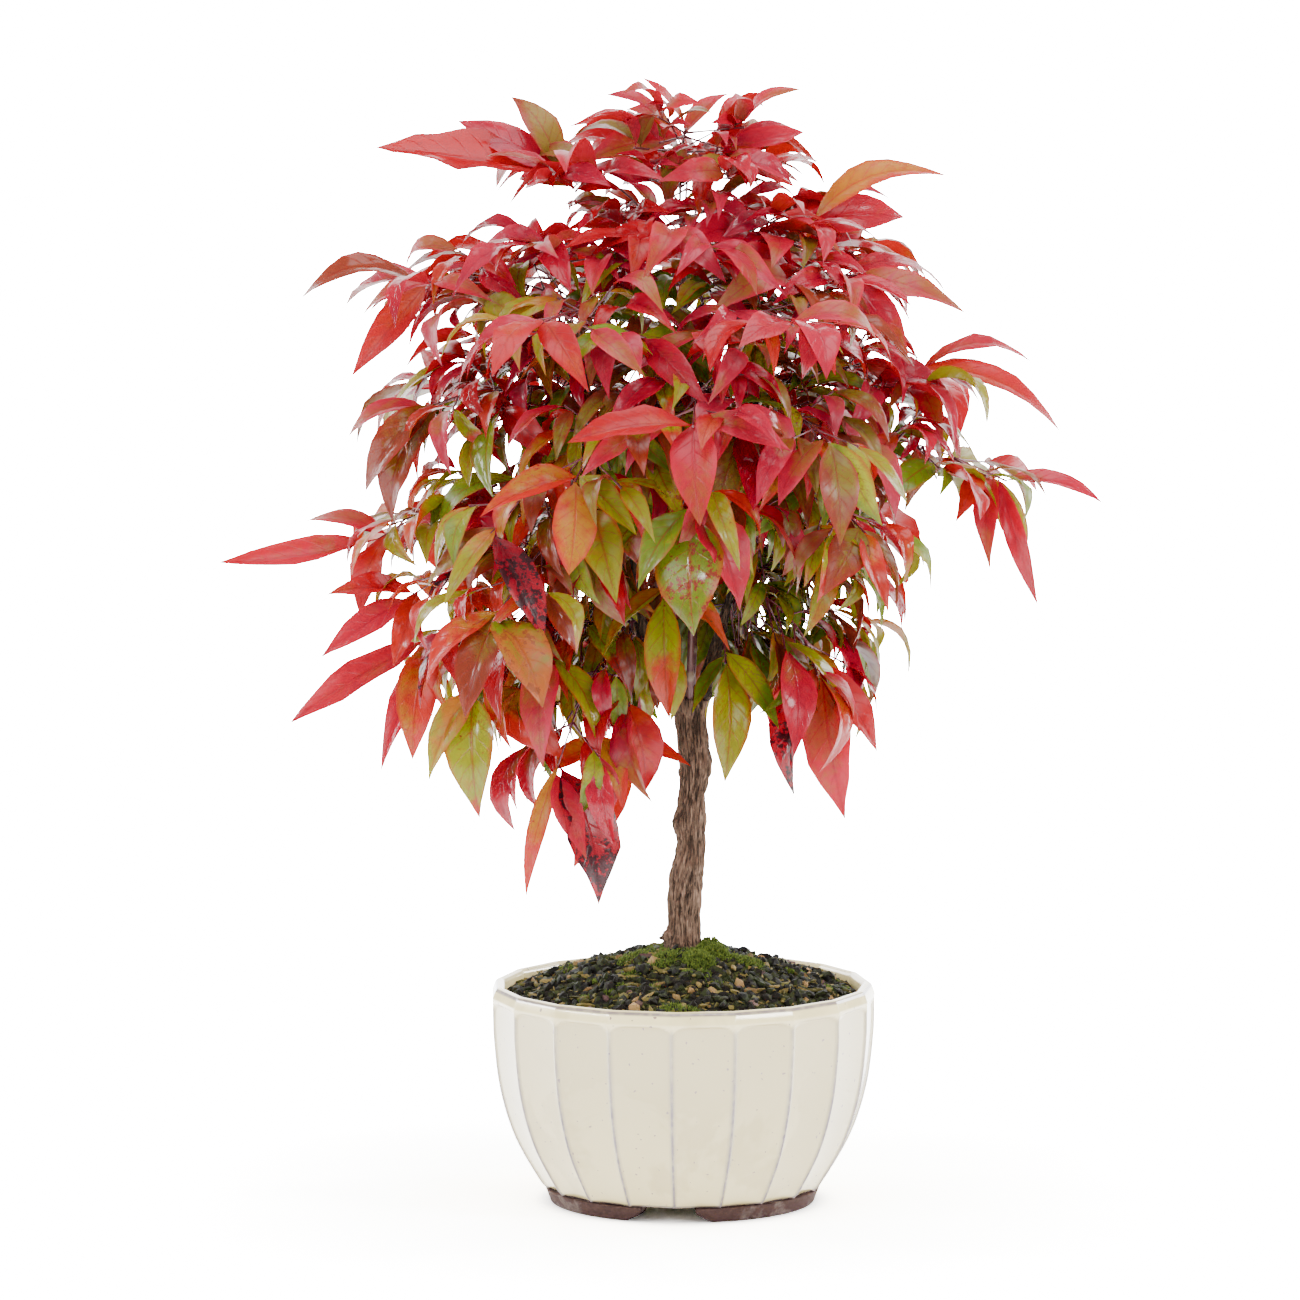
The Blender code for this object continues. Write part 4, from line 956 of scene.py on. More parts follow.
def grow_foliage(limbs):
    """Every spray: all stems, the leaves of the outline, the pinnae, then the other leaves."""
    space = Space()
    for points, radii in limbs.values():
        space.add("limb", *tube(points, radii, LIMB_SIDES), "limb")
    sprays = [Spray(name, i, row, limbs) for i, (name, row) in enumerate(SPRAYS.items())]
    for spray in sprays:
        spray.grow_stem(space)
    ends = {s.name: (s, s.end, (s.stem[-1] - s.stem[-2]).normalized()) for s in sprays}
    grow_leaves(space, [(*ends[name], rows) for name, rows in OUTLINE.items()], outline=True)
    for spray in sprays:
        spray.pinnae = spray.grow_pinnae(space, PINNA_PLACES[spray.pairs])
    grow_leaves(space, [(*end, end[0].leaflets(end[0].bearing)) for name, end in ends.items()
                        if name not in OUTLINE])
    grow_leaves(space, [(spray, tip, along, spray.leaflets(heading)) for spray in sprays
                        for tip, along, heading in spray.pinnae])
    for spray in sprays:
        if spray.pairs:
            inner = INNER_GROWTH if spray.end.z < INNER_TOP else ()
            for places, size, lift in FINE_GROWTH + inner:
                pinnae = spray.grow_pinnae(space, places, True, size, lift)
                grow_leaves(space, [(spray, tip, along, spray.leaflets(heading, size))
                                    for tip, along, heading in pinnae], fine=True)
    return sprays


# Finishes


class Tree:
    """A node tree being wired up, with short calls for the nodes that the finishes use."""

    def __init__(self, tree):
        self.tree = tree

    def add(self, kind, **settings):
        node = self.tree.nodes.new(kind)
        for name, value in settings.items():
            setattr(node, name, value)
        return node

    def feed(self, socket, value):
        """Links a socket, or sets a plain value."""
        if isinstance(value, bpy.types.NodeSocket):
            self.tree.links.new(value, socket)
        elif socket.type == "RGBA":
            socket.default_value = (*value, 1.0)[:4]
        else:
            socket.default_value = value

    def where(self):
        return self.add("ShaderNodeTexCoord").outputs["Object"]

    def value(self, name):
        return self.add("ShaderNodeAttribute", attribute_name=name).outputs["Fac"]

    def scaled(self, vector, scale):
        node = self.add("ShaderNodeMapping")
        self.feed(node.inputs["Vector"], vector)
        node.inputs["Scale"].default_value = scale
        return node.outputs["Vector"]

    def noise(self, vector, scale, detail=3.0, roughness=0.55, distortion=0.0):
        node = self.add("ShaderNodeTexNoise")
        self.feed(node.inputs["Vector"], vector)
        self.feed(node.inputs["Scale"], scale)
        node.inputs["Detail"].default_value = detail
        node.inputs["Roughness"].default_value = roughness
        node.inputs["Distortion"].default_value = distortion
        return node.outputs["Fac"]

    def math(self, operation, a, b=0.0):
        node = self.add("ShaderNodeMath", operation=operation)
        self.feed(node.inputs[0], a)
        self.feed(node.inputs[1], b)
        return node.outputs[0]

    def times(self, a, b):
        return self.math("MULTIPLY", a, b)

    def plus(self, *terms):
        total = terms[0]
        for term in terms[1:]:
            total = self.math("ADD", total, term)
        return total

    def minus(self, a, b):
        return self.math("SUBTRACT", a, b)

    def higher(self, a, b):
        return self.math("MAXIMUM", a, b)

    def fit(self, value, low, high, out_low=0.0, out_high=1.0):
        """A smooth step of a value from low to high."""
        node = self.add("ShaderNodeMapRange", interpolation_type="SMOOTHSTEP")
        for socket, item in zip(node.inputs, (value, low, high, out_low, out_high)):
            self.feed(socket, item)
        return node.outputs[0]

    def mix(self, factor, a, b):
        node = self.add("ShaderNodeMix", data_type="RGBA")
        self.feed(node.inputs["Factor"], factor)
        self.feed(node.inputs["A"], a)
        self.feed(node.inputs["B"], b)
        return node.outputs["Result"]

    def ramp(self, value, stops):
        node = self.add("ShaderNodeValToRGB")
        self.feed(node.inputs["Fac"], value)
        elements = node.color_ramp.elements
        while len(elements) < len(stops):
            elements.new(1.0)
        for element, (place, colour) in zip(elements, stops):
            element.position = place
            element.color = (*colour, 1.0)
        return node.outputs["Color"]

    def bump(self, height, strength, distance):
        node = self.add("ShaderNodeBump")
        self.feed(node.inputs["Height"], height)
        node.inputs["Strength"].default_value = strength
        node.inputs["Distance"].default_value = distance
        return node.outputs["Normal"]

    def effect(self, name, **inputs):
        """One of the shared effects, with its own values."""
        node = self.add("ShaderNodeGroup", node_tree=bpy.data.node_groups[name])
        for key, value in inputs.items():
            self.feed(node.inputs[key.replace("_", " ").capitalize()], value)
        return node.outputs


def new_effect(name, inputs, outputs):
    """An empty shared effect, with its sockets; inputs give each one's usual value."""
    group = bpy.data.node_groups.new(name, "ShaderNodeTree")
    for key, value in inputs.items():
        socket = group.interface.new_socket(key, in_out="INPUT", socket_type="NodeSocketFloat")
        socket.default_value = value
    for key in outputs:
        group.interface.new_socket(key, in_out="OUTPUT", socket_type="NodeSocketFloat")
    tree = Tree(group)
    return tree, tree.add("NodeGroupInput").outputs, tree.add("NodeGroupOutput").inputs


def make_patches():
    """Soft patches of an uneven cover, and a grain nine times finer."""
    tree, given, out = new_effect("patches", {"Scale": 50.0, "Amount": 0.5}, ("Mask", "Grain"))
    cloud = tree.noise(tree.where(), given["Scale"], detail=4.0, roughness=0.6, distortion=0.4)
    edge = tree.minus(0.78, tree.times(given["Amount"], 0.5))
    tree.feed(out["Mask"], tree.fit(cloud, edge, tree.plus(edge, 0.09)))
    fine = tree.noise(tree.where(), tree.times(given["Scale"], 9.0), detail=2.0)
    tree.feed(out["Grain"], fine)


def make_leaf_markings():
    """Where a leaf blushes, takes patches of painted shade, frays, spots and shows its veins."""
    tree, given, out = new_effect(
        "leaf markings", {"Blush": 0.4, "Spots": 0.2, "Turn": 0.0},
        ("Blush", "Veins", "Rim", "Spots", "Flecks", "Dusk", "Relief"))
    leaf = tree.add("ShaderNodeSeparateXYZ")
    tree.feed(leaf.inputs[0], tree.add("ShaderNodeUVMap", uv_map="leaf").outputs["UV"])
    along = leaf.outputs["Y"]
    tipward = tree.minus(along, 0.5)
    sideward = tree.minus(leaf.outputs["X"], 0.5)
    across = tree.times(tree.math("ABSOLUTE", sideward), 2.0)
    cloud = tree.noise(tree.where(), 62.0, detail=4.0, roughness=0.6, distortion=0.5)
    clouded = tree.minus(cloud, 0.5)

    # Three lots drawn from the one chance of each leaf.
    chance = tree.value("chance")
    second_lot = tree.math("FRACT", tree.times(chance, 5.37))
    third_lot = tree.math("FRACT", tree.times(chance, 17.1))
    blush = tree.plus(
        cloud,
        tree.minus(given["Blush"], 0.5),
        tree.times(tree.minus(chance, 0.5), 0.42),
        tree.times(tree.minus(0.5, across), 0.14),
        tree.times(tipward, tree.minus(tree.times(second_lot, 1.5), 0.85)),
        tree.times(sideward, tree.minus(tree.times(third_lot, 0.7), 0.35)),
        tree.times(tipward, given["Turn"]))
    tree.feed(out["Blush"], tree.fit(blush, 0.36, 0.68))
    # Patches of painted shade where the cloud is low, stronger on some leaves than others.
    tree.feed(out["Dusk"], tree.times(tree.fit(cloud, 0.62, 0.30),
                                      tree.fit(third_lot, 0.0, 1.0, 0.15, 0.75)))

    flecks = tree.noise(tree.where(), 850.0, detail=2.0, roughness=0.7)
    flecks = tree.plus(flecks, tree.times(clouded, 0.5))
    tree.feed(out["Flecks"], tree.fit(flecks, 0.60, 0.72))
    frayed = tree.plus(across, tree.times(clouded, 0.5))
    tree.feed(out["Rim"], tree.fit(frayed, 0.72, 1.05))
    specks = tree.noise(tree.where(), 330.0, detail=3.0, roughness=0.65)
    specks = tree.plus(specks, tree.times(clouded, 0.9))
    edge = tree.minus(0.86, tree.times(given["Spots"], 0.45))
    tree.feed(out["Spots"], tree.fit(specks, edge, tree.plus(edge, 0.07)))

    # Side veins: eight to a leaf, swept towards its tip, fading before the rim.
    swept = tree.times(tree.minus(along, tree.times(across, 0.20)), 8.0)
    saw = tree.minus(tree.math("FRACT", swept), 0.5)
    crest = tree.times(tree.math("ABSOLUTE", saw), 2.0)
    side_veins = tree.times(tree.fit(crest, 0.0, 0.16, 1.0, 0.0),
                            tree.fit(across, 0.70, 0.95, 0.8, 0.0))
    veins = tree.higher(tree.fit(across, 0.02, 0.09, 1.0, 0.0), side_veins)
    tree.feed(out["Veins"], veins)
    dimple = tree.times(tree.noise(tree.where(), 420.0, detail=2.0), 0.25)
    tree.feed(out["Relief"], tree.minus(dimple, tree.times(veins, 0.6)))


def dyed(colour, *shares):
    """A colour with its channels scaled, all by one share or each by its own."""
    return tuple(c * share for c, share in zip(colour, shares * (3 // len(shares))))


def new_finish(name, **constants):
    """A material with its shader, whose plain values are set on the shader itself."""
    material = bpy.data.materials.new(name)
    material.use_nodes = True
    tree = Tree(material.node_tree)
    shader = material.node_tree.nodes["Principled BSDF"]
    for key, value in constants.items():
        tree.feed(shader.inputs[key.replace("_", " ")], value)
    return material, tree, shader.inputs


def glaze_finish(settings):
    """Cream glaze: thin on the ridges, darker and yellower in the panels and the more so higher up,
    with a few pits.
    """
    material, tree, shader = new_finish(
        "cream glaze", Roughness=0.12, Coat_Weight=0.5, Coat_Roughness=0.04)
    patch = tree.effect("patches", scale=22.0, amount=0.6)
    place = tree.add("ShaderNodeSeparateXYZ")
    tree.feed(place.inputs[0], tree.where())
    # Darker in the panels, the more so higher up the pot, and in random patches.
    upward_share = tree.fit(place.outputs["Z"], 0.010, 0.080, 0.5, 1.0)
    panel_darkening = tree.plus(tree.times(patch["Mask"], 0.35), tree.times(tree.value("panel"), upward_share))
    ground = tree.mix(panel_darkening, settings.glaze, dyed(settings.glaze, 0.66, 0.635, 0.57))
    pits = tree.fit(tree.noise(tree.where(), 520.0, detail=0.0), 0.80, 0.83)
    ground = tree.mix(pits, ground, (0.30, 0.22, 0.16))
    thin = tree.times(tree.value("thin"), tree.fit(patch["Grain"], 0.25, 0.6, 0.75, 1.0))
    tree.feed(shader["Base Color"], tree.mix(thin, ground, settings.thin_glaze))
    ripple = tree.noise(tree.where(), 120.0, detail=2.0)
    tree.feed(shader["Normal"], tree.bump(ripple, 0.12, 0.0006))
    return material


def clay_finish(settings):
    """Bare stoneware with pale smears."""
    material, tree, shader = new_finish("bare clay", Roughness=0.82, Specular_IOR_Level=0.12)
    patch = tree.effect("patches", scale=70.0, amount=0.55)
    ground = tree.mix(tree.fit(patch["Grain"], 0.3, 0.75, 0.0, 0.4), settings.clay,
                      dyed(settings.clay, 1.9))
    smear = tree.times(tree.times(patch["Mask"], patch["Grain"]), 0.30)
    tree.feed(shader["Base Color"], tree.mix(smear, ground, (0.36, 0.30, 0.27)))
    tree.feed(shader["Normal"], tree.bump(patch["Grain"], 0.35, 0.0004))
    return material


def soil_finish():
    """The fine dark soil between the stones, greenish in patches."""
    material, tree, shader = new_finish("soil", Roughness=0.95, Specular_IOR_Level=0.1)
    patch = tree.effect("patches", scale=160.0, amount=0.6)
    ground = tree.ramp(patch["Grain"], (
        (0.25, (0.005, 0.004, 0.003)), (0.55, (0.020, 0.016, 0.010)),
        (0.8, (0.08, 0.060, 0.032))))
    green = tree.times(patch["Mask"], 0.5)
    tree.feed(shader["Base Color"], tree.mix(green, ground, (0.05, 0.065, 0.012)))
    tree.feed(shader["Normal"], tree.bump(patch["Grain"], 0.8, 0.001))
    return material


def stone_finish(name, dark, pale, film):
    """Grit whose stones each take their own shade from the chance value."""
    material, tree, shader = new_finish(name, Roughness=0.7, Specular_IOR_Level=0.14)
    patch = tree.effect("patches", scale=240.0, amount=0.6)
    ground = tree.mix(tree.value("chance"), dark, pale)
    ground = tree.mix(tree.fit(patch["Grain"], 0.35, 0.7, 0.0, 0.35), ground, dark)
    green = tree.times(patch["Mask"], film)
    tree.feed(shader["Base Color"], tree.mix(green, ground, FILM))
    tree.feed(shader["Normal"], tree.bump(patch["Grain"], 0.6, 0.0005))
    return material


def moss_finish(settings):
    """Moss painted deep low in its cushion as painted shade, and bright at the tips of its higher
    shoots, partly their paler growth and partly painted light.
    """
    material, tree, shader = new_finish("moss", Roughness=0.85, Specular_IOR_Level=0.15)
    shade = tree.plus(tree.times(tree.value("shade"), 0.75),
                      tree.times(tree.value("chance"), 0.25))
    # Dark low down as painted shade, bright high up as painted light and paler tips.
    tree.feed(shader["Base Color"], tree.ramp(shade, (
        (0.05, dyed(settings.moss, 0.18)), (0.5, settings.moss),
        (0.95, dyed(settings.moss, 2.4, 2.0, 2.0)))))
    return material


def bark_finish(name, settings, shade):
    """Fibrous bark, dark in its furrows and cracks, partly the darker bark there and partly painted
    shade; shade scales its colour.
    """
    material, tree, shader = new_finish(name, Roughness=0.9, Specular_IOR_Level=0.15)
    fibre = tree.noise(tree.scaled(tree.where(), (1.0, 1.0, 0.10)), 1500.0, detail=5.0,
                       roughness=0.75, distortion=0.4)
    split = tree.noise(tree.scaled(tree.where(), (1.0, 1.0, 0.12)), 560.0, detail=5.0,
                       roughness=0.7, distortion=0.8)
    split = tree.fit(split, 0.40, 0.49, 1.0, 0.0)
    patch = tree.effect("patches", scale=110.0, amount=0.55)
    ridge = dyed(settings.bark, shade)
    ground = tree.mix(tree.fit(fibre, 0.42, 0.62), ridge, dyed(ridge, 2.0))
    ground = tree.mix(tree.times(patch["Mask"], 0.5), ground, dyed(ridge, 0.75, 0.62, 0.55))
    # Furrows and cracks painted dark: partly the bark's own colour there, partly painted shade.
    crack_and_shade = tree.higher(tree.value("furrow"), tree.times(split, 0.85))
    tree.feed(shader["Base Color"], tree.mix(crack_and_shade, ground, dyed(ridge, 0.20)))
    tree.feed(shader["Normal"], tree.bump(tree.minus(fibre, split), 0.9, 0.0007))
    return material


def cane_finish(settings):
    """Smooth young cane with paler scars at its joints."""
    material, tree, shader = new_finish("young cane", Roughness=0.5)
    patch = tree.effect("patches", scale=150.0, amount=0.5)
    ground = tree.mix(patch["Grain"], settings.cane, dyed(settings.cane, 2.2, 1.7, 1.5))
    tree.feed(shader["Base Color"], tree.mix(tree.value("furrow"), ground, (0.16, 0.11, 0.07)))
    tree.feed(shader["Normal"], tree.bump(patch["Grain"], 0.4, 0.0003))
    return material


def stalk_finish(settings):
    """Red leaf stalk."""
    material, tree, shader = new_finish("leaf stalk", Roughness=0.4)
    patch = tree.effect("patches", scale=45.0, amount=0.5)
    tree.feed(shader["Base Color"],
              tree.mix(patch["Grain"], dyed(settings.stalk, 0.45), settings.stalk))
    return material


def leaf_finish(tint):
    """A leathery leaf: waxy above, duller below, and partly lit from behind."""
    main, second, rim, spot, blush, spots, turn = LEAF_FINISHES[tint]
    material, tree, shader = new_finish(f"leaf {tint}", Specular_IOR_Level=0.34)
    marks = tree.effect("leaf markings", blush=blush, spots=spots, turn=turn)
    # Painted shade: half the leaf's colour mixed with its spots' colour, laid where the markings
    # put it.
    painted_shade = tuple(0.25 * (a + b) for a, b in zip(main, spot))
    vein = tuple(0.5 * (a + b) for a, b in zip(rim, spot))
    colour = tree.mix(marks["Blush"], main, second)
    for mark, strength, shade in (("Dusk", 0.6, painted_shade), ("Rim", 0.7, rim), ("Veins", 0.5, vein),
                                  ("Flecks", 0.45, vein), ("Spots", 0.9, spot)):
        colour = tree.mix(tree.times(marks[mark], strength), colour, shade)
    paler = 0.0 if tint == "spotted" else 0.14
    colour = tree.mix(tree.times(tree.value("chance"), paler), colour,
                      tuple(c * 1.7 + 0.01 for c in main))
    colour = tree.mix(tree.times(tree.value("underside"), 0.5), colour,
                      tuple(c * 0.7 + 0.035 for c in main))
    tree.feed(shader["Base Color"], colour)
    tree.feed(shader["Roughness"], tree.fit(tree.value("chance"), 0.0, 1.0, 0.14, 0.34))
    tree.feed(shader["Normal"], tree.bump(marks["Relief"], 0.35, 0.0006))

    glowing = tree.add("ShaderNodeHueSaturation")
    glowing.inputs["Value"].default_value = 1.9
    tree.feed(glowing.inputs["Color"], colour)
    through = tree.add("ShaderNodeBsdfTranslucent")
    tree.feed(through.inputs["Color"], glowing.outputs["Color"])
    both = tree.add("ShaderNodeMixShader")
    both.inputs["Fac"].default_value = 0.5
    nodes = material.node_tree.nodes
    tree.feed(both.inputs[1], nodes["Principled BSDF"].outputs["BSDF"])
    tree.feed(both.inputs[2], through.outputs["BSDF"])
    tree.feed(nodes["Material Output"].inputs["Surface"], both.outputs["Shader"])
    return material


# Pot


def ridge_share(bearing):
    """Where a bearing falls between two ridges, from 0 on one to 1 on the next."""
    return (bearing - FLUTE_BEARING) / (360 / FLUTES) % 1.0


def bowl_radius(height):
    """Radius of the bowl's ridges at a height."""
    for (low, r_low), (high, r_high) in zip(BOWL_PROFILE, BOWL_PROFILE[1:]):
        if height <= high:
            return r_low + (r_high - r_low) * (height - low) / (high - low)
    return RIM_RADIUS


def panel_depth(share, height):
    """How deep a panel lies here, from 0 at its ridges and above its top to 1 in its middle."""
    off_centre = abs(2 * share - 1)
    top = FLUTE_TOP - PANEL_CORNER * off_centre**6
    rise = clamped((top - height) / PANEL_STEP)
    step = rise * rise * (3 - 2 * rise)
    shoulder = min(1.0, (1 - off_centre) * 14)
    return step * (PANEL_SHOULDER * shoulder + (1 - PANEL_SHOULDER) * (1 - off_centre**2))


def thin_share(off_centre, height):
    """How thin the glaze has run: along the ridges, on the lip's edge and at the bottom."""
    edge = abs(height - (POT_HEIGHT - 0.0010)) < 0.0006 or height < BOWL_BOTTOM + 0.0006
    ridge = clamped((off_centre - 0.90) / 0.075)
    ridge *= clamped((FLUTE_TOP - 0.001 - height) / 0.003)
    ridge *= 0.6 + 0.4 * clamped((0.078 - height) / 0.03)
    return max(ridge, 0.9 if edge else 0.0)


def bowl_profile():
    """The bowl's closed profile of radius and height, up its outside and down its inside."""
    profile = [(p.x, p.z) for p in smooth_path([(r, 0.0, z) for z, r in BOWL_PROFILE], 6)]
    profile += [(bowl_radius(z), z) for z in PANEL_LEVELS]
    profile.sort(key=lambda place: place[1])
    lip = RIM_RADIUS - LIP_WIDTH
    profile += [(RIM_RADIUS - inset, POT_HEIGHT - drop) for inset, drop in LIP_OUTSIDE]
    profile += [(lip + inset, POT_HEIGHT - drop) for inset, drop in LIP_INSIDE]
    profile += [(lip - inset, z) for inset, z in THROAT]
    profile += [(r - WALL, z) for z, r in reversed(BOWL_PROFILE[2:-1])]
    return profile + [(FLOOR_RADIUS, FLOOR), (DRAIN_RADIUS, FLOOR), (DRAIN_RADIUS, BOWL_BOTTOM)]


class BONSAI_OT_bowl(bpy.types.Operator):
    """Throws the bowl from its profile and presses the flutes into it."""

    bl_idname = "bonsai.bowl"
    bl_label = "Fluted bowl"

    def execute(self, context):
        settings = context.scene.bonsai_pot
        bowl = spin_profile("bowl", bowl_profile(), FLUTE_BEARING, 360, FLUTES * FLUTE_STEPS)
        thin, panel = [], []
        for vert in bowl.data.vertices:
            place = vert.co - POT_AXIS
            radius = math.hypot(place.x, place.y)
            bearing = math.degrees(math.atan2(place.y, place.x))
            share = ridge_share(bearing)
            crowded = share - CROWDING * math.sin(math.tau * share) / math.tau
            bearing += (crowded - share) * 360 / FLUTES
            off_centre = abs(2 * crowded - 1)
            outer = radius > bowl_radius(place.z) - 0.002
            near_rim = clamped((place.z - RIM_WAVE_START) / RIM_WAVE_RUN)
            inward = near_rim * settings.rim_wave * (1 - off_centre**2)
            depth = panel_depth(crowded, place.z) if outer else 0.0
            inward = max(inward, settings.flute_depth * depth)
            spot = POT_AXIS + turned(bearing) * (radius - inward)
            vert.co = (spot.x, spot.y, place.z)
            panel.append(min(1.0, depth * 2.2))
            thin.append(thin_share(off_centre, place.z) if outer else 0.0)
        set_values(bowl, "thin", thin)
        set_values(bowl, "panel", panel)
        dress(bowl, glaze_finish(settings), "pot_bowl", slot="glaze")
        return {"FINISHED"}


class BONSAI_OT_feet(bpy.types.Operator):
    """Turns three arcs of a foot ring and hollows their ends."""

    bl_idname = "bonsai.feet"
    bl_label = "Feet"

    def execute(self, context):
        clay = clay_finish(context.scene.bonsai_pot)
        half = 180 / FEET - NOTCH_HALF_TOP * NOTCH_WIDER
        outside = list(zip(tapered(FOOT_LEVELS, FOOT_BOTTOM_RADIUS, FOOT_TOP_RADIUS),
                           tapered(FOOT_LEVELS, 0.0, FOOT_HEIGHT)))
        inside = [(radius - FOOT_WIDTH, z) for radius, z in reversed(outside)]
        for foot in range(FEET):
            middle = NOTCH_BEARING + (foot + 0.5) * 360 / FEET
            piece = spin_profile(f"foot_{foot + 1}", outside + inside, middle - half, 2 * half,
                                 FOOT_STEPS)
            for vert in piece.data.vertices:
                place = vert.co - POT_AXIS
                share = place.z / FOOT_HEIGHT
                notch = (NOTCH_HALF_BOTTOM - NOTCH_HALF_TOP) * (1 - share) ** 2
                bearing = math.degrees(math.atan2(place.y, place.x))
                offset = (bearing - middle + 180) % 360 - 180
                radius = math.hypot(place.x, place.y)
                spot = POT_AXIS + turned(middle + offset * (1 - notch / half)) * radius
                vert.co = (spot.x, spot.y, place.z)
            bevel = piece.modifiers.new("worn edges", "BEVEL")
            bevel.width = 0.0004
            bevel.segments = 2
            bevel.limit_method = "ANGLE"
            bevel.angle_limit = math.radians(40)
            bpy.ops.object.modifier_apply(modifier=bevel.name)
            piece.data.set_sharp_from_angle(angle=math.radians(50))
            dress(piece, clay, f"pot_foot_{foot + 1}", slot="clay")
        return {"FINISHED"}


# Soil and moss


def scatter_stones(name, count, sizes, slender, reach, seed):
    """Small stones of one kind, each an icosahedron knocked out of shape, bedded in the soil."""
    dice = random.Random(seed)
    bpy.ops.mesh.primitive_ico_sphere_add(subdivisions=1, radius=1.0)
    pattern = bpy.context.object
    corners = [v.co.copy() for v in pattern.data.vertices]
    sides = [tuple(p.vertices) for p in pattern.data.polygons]
    bpy.data.objects.remove(pattern, do_unlink=True)
    highest = 0.3 if slender < SLENDER else 1.2
    verts, faces, chance = [], [], []
    for _ in range(count):
        size = dice.uniform(*sizes)
        radius = reach * math.sqrt(dice.uniform((SOIL_FLAT_RADIUS / reach) ** 2, 1.0))
        place = turned(dice.uniform(0, 360)) * radius
        place.z = ground_at(place) + size * dice.uniform(-0.4, highest)
        stretch = Matrix.Diagonal(Vector([dice.uniform(0.55, 1.25) for _ in range(3)]))
        stretch[0][0] *= slender
        lean = Matrix.Rotation(dice.uniform(0, math.tau), 3, "Z")
        lean = lean @ Matrix.Rotation(dice.gauss(0, 0.7 / slender), 3, "Y")
        knocked = [corner * dice.uniform(0.66, 1.2) for corner in corners]
        heap_up(verts, faces, [place + lean @ (stretch @ corner) * size for corner in knocked],
                sides)
        chance += [dice.random()] * len(sides)
    piece = new_piece(name, verts, faces, sharp_edge=40)
    set_values(piece, "chance", chance, "FACE")
    return piece


def ring_spot(dice):
    """A shoot of the ring: its place, the moss's height there and how deep inside it stands."""
    _, height, top = MOSS_RING
    out = dice.uniform(MOSS_INNER - 0.0014, MOSS_OUTER + 0.001)
    place = turned(dice.uniform(0, 360)) * out
    height *= 0.6 + 0.4 * math.cos(math.atan2(place.y, place.x) - math.radians(top))
    return place, height, 1 - abs(2 * (out - MOSS_INNER) / (MOSS_OUTER - MOSS_INNER) - 1)


def tuft_spot(dice, bearing, radius, spread, height):
    """The same of a round tuft."""
    middle = turned(bearing) * radius
    place = middle + turned(dice.uniform(0, 360)) * spread * math.sqrt(dice.random())
    return place, height, 1 - (place - middle).length / spread


class BONSAI_OT_soil(bpy.types.Operator):
    """Lays the mound of soil and the grit on it."""

    bl_idname = "bonsai.soil"
    bl_label = "Soil and grit"

    def execute(self, context):
        settings = context.scene.bonsai_ground
        under = [(0.0, FLOOR + SEAT_GAP), (FLOOR_RADIUS - 0.001, FLOOR + SEAT_GAP)]
        under += [(r - WALL - 0.0009, z) for z, r in BOWL_PROFILE[2:-1]]
        radii = tapered(SOIL_STEPS + 1, SOIL_RADIUS, 0.0)
        top = [(radius, soil_height(radius)) for radius in radii]
        mound = spin_profile("soil_bed", under + top, 0, 360, SOIL_TURNS)
        for vert in mound.data.vertices:
            place = vert.co - POT_AXIS
            if place.z > SOIL_EDGE:
                lump = noise.fractal(vert.co * 150, 1.0, 2.0, 4)
                vert.co.z = ground_at(place) + SOIL_ROUGHNESS * lump
        dress(mound, soil_finish(), "soil_mound", slot="soil")
        kinds = [(getattr(settings, kind), *row) for kind, rows in STONES.items() for row in rows]
        for seed, (total, name, part, sizes, dark, pale, film, slender) in enumerate(kinds, 5):
            stones = scatter_stones(name, int(total * part), sizes, slender,
                                    SOIL_RADIUS - SOIL_PLAY, seed)
            dress(stones, stone_finish(name.replace("_", " "), dark, pale, film), slot="soil")
        return {"FINISHED"}


class BONSAI_OT_moss(bpy.types.Operator):
    """Sets moss shoots round the foot of the trunk and in tufts on the soil."""

    bl_idname = "bonsai.moss"
    bl_label = "Moss"

    def execute(self, context):
        settings = context.scene.bonsai_ground
        dice = random.Random(11)
        verts, faces, shade, chance = [], [], [], []
        tufts = MOSS_TUFTS + tuple(
            (dice.uniform(0, 360), SOIL_RADIUS * dice.uniform(0.4, 0.93),
             dice.uniform(0.002, 0.006), LOOSE_HEIGHT, LOOSE_SHARE) for _ in range(LOOSE_TUFTS))
        patches = [(MOSS_RING[0], None)] + [(share, tuft) for *tuft, share in tufts]
        for share, tuft in patches:
            for _ in range(int(settings.moss_shoots * share)):
                place, height, depth = tuft_spot(dice, *tuft) if tuft else ring_spot(dice)
                lump = 0.5 + 0.5 * noise.noise(place * 260)
                dome = math.sqrt(1 - (1 - max(0.0, depth)) ** 2)
                tall = height * max(0.2, dome) * (0.6 + 0.5 * lump)
                ground = ground_at(place) + 0.0002
                for _ in range(2):
                    lean = turned(dice.uniform(0, 360), dice.uniform(30, 85))
                    rise = dice.uniform(0.1, 0.85)
                    foot = Vector((place.x, place.y, ground + tall * rise))
                    side = lean.orthogonal().normalized() * SHOOT_RADIUS
                    other = lean.cross(side)
                    tip = foot + lean * dice.uniform(*SHOOT_LENGTHS)
                    corners = (foot + side, foot - side * 0.5 + other,
                               foot - side * 0.5 - other, tip)
                    heap_up(verts, faces, corners, ((0, 1, 3), (1, 2, 3), (2, 0, 3), (2, 1, 0)))
                    # Shoots low in the cushion get painted shade and high ones painted light,
                    # partly their own paler tips.
                    shade += [0.4 * lump + 0.6 * rise] * 4
                    chance += [dice.random()] * 4
        shoots = new_piece("moss", verts, faces)
        set_values(shoots, "shade", shade, "FACE")
        set_values(shoots, "chance", chance, "FACE")
        dress(shoots, moss_finish(settings), "moss_cushion", slot="moss")
        return {"FINISHED"}


# Wood


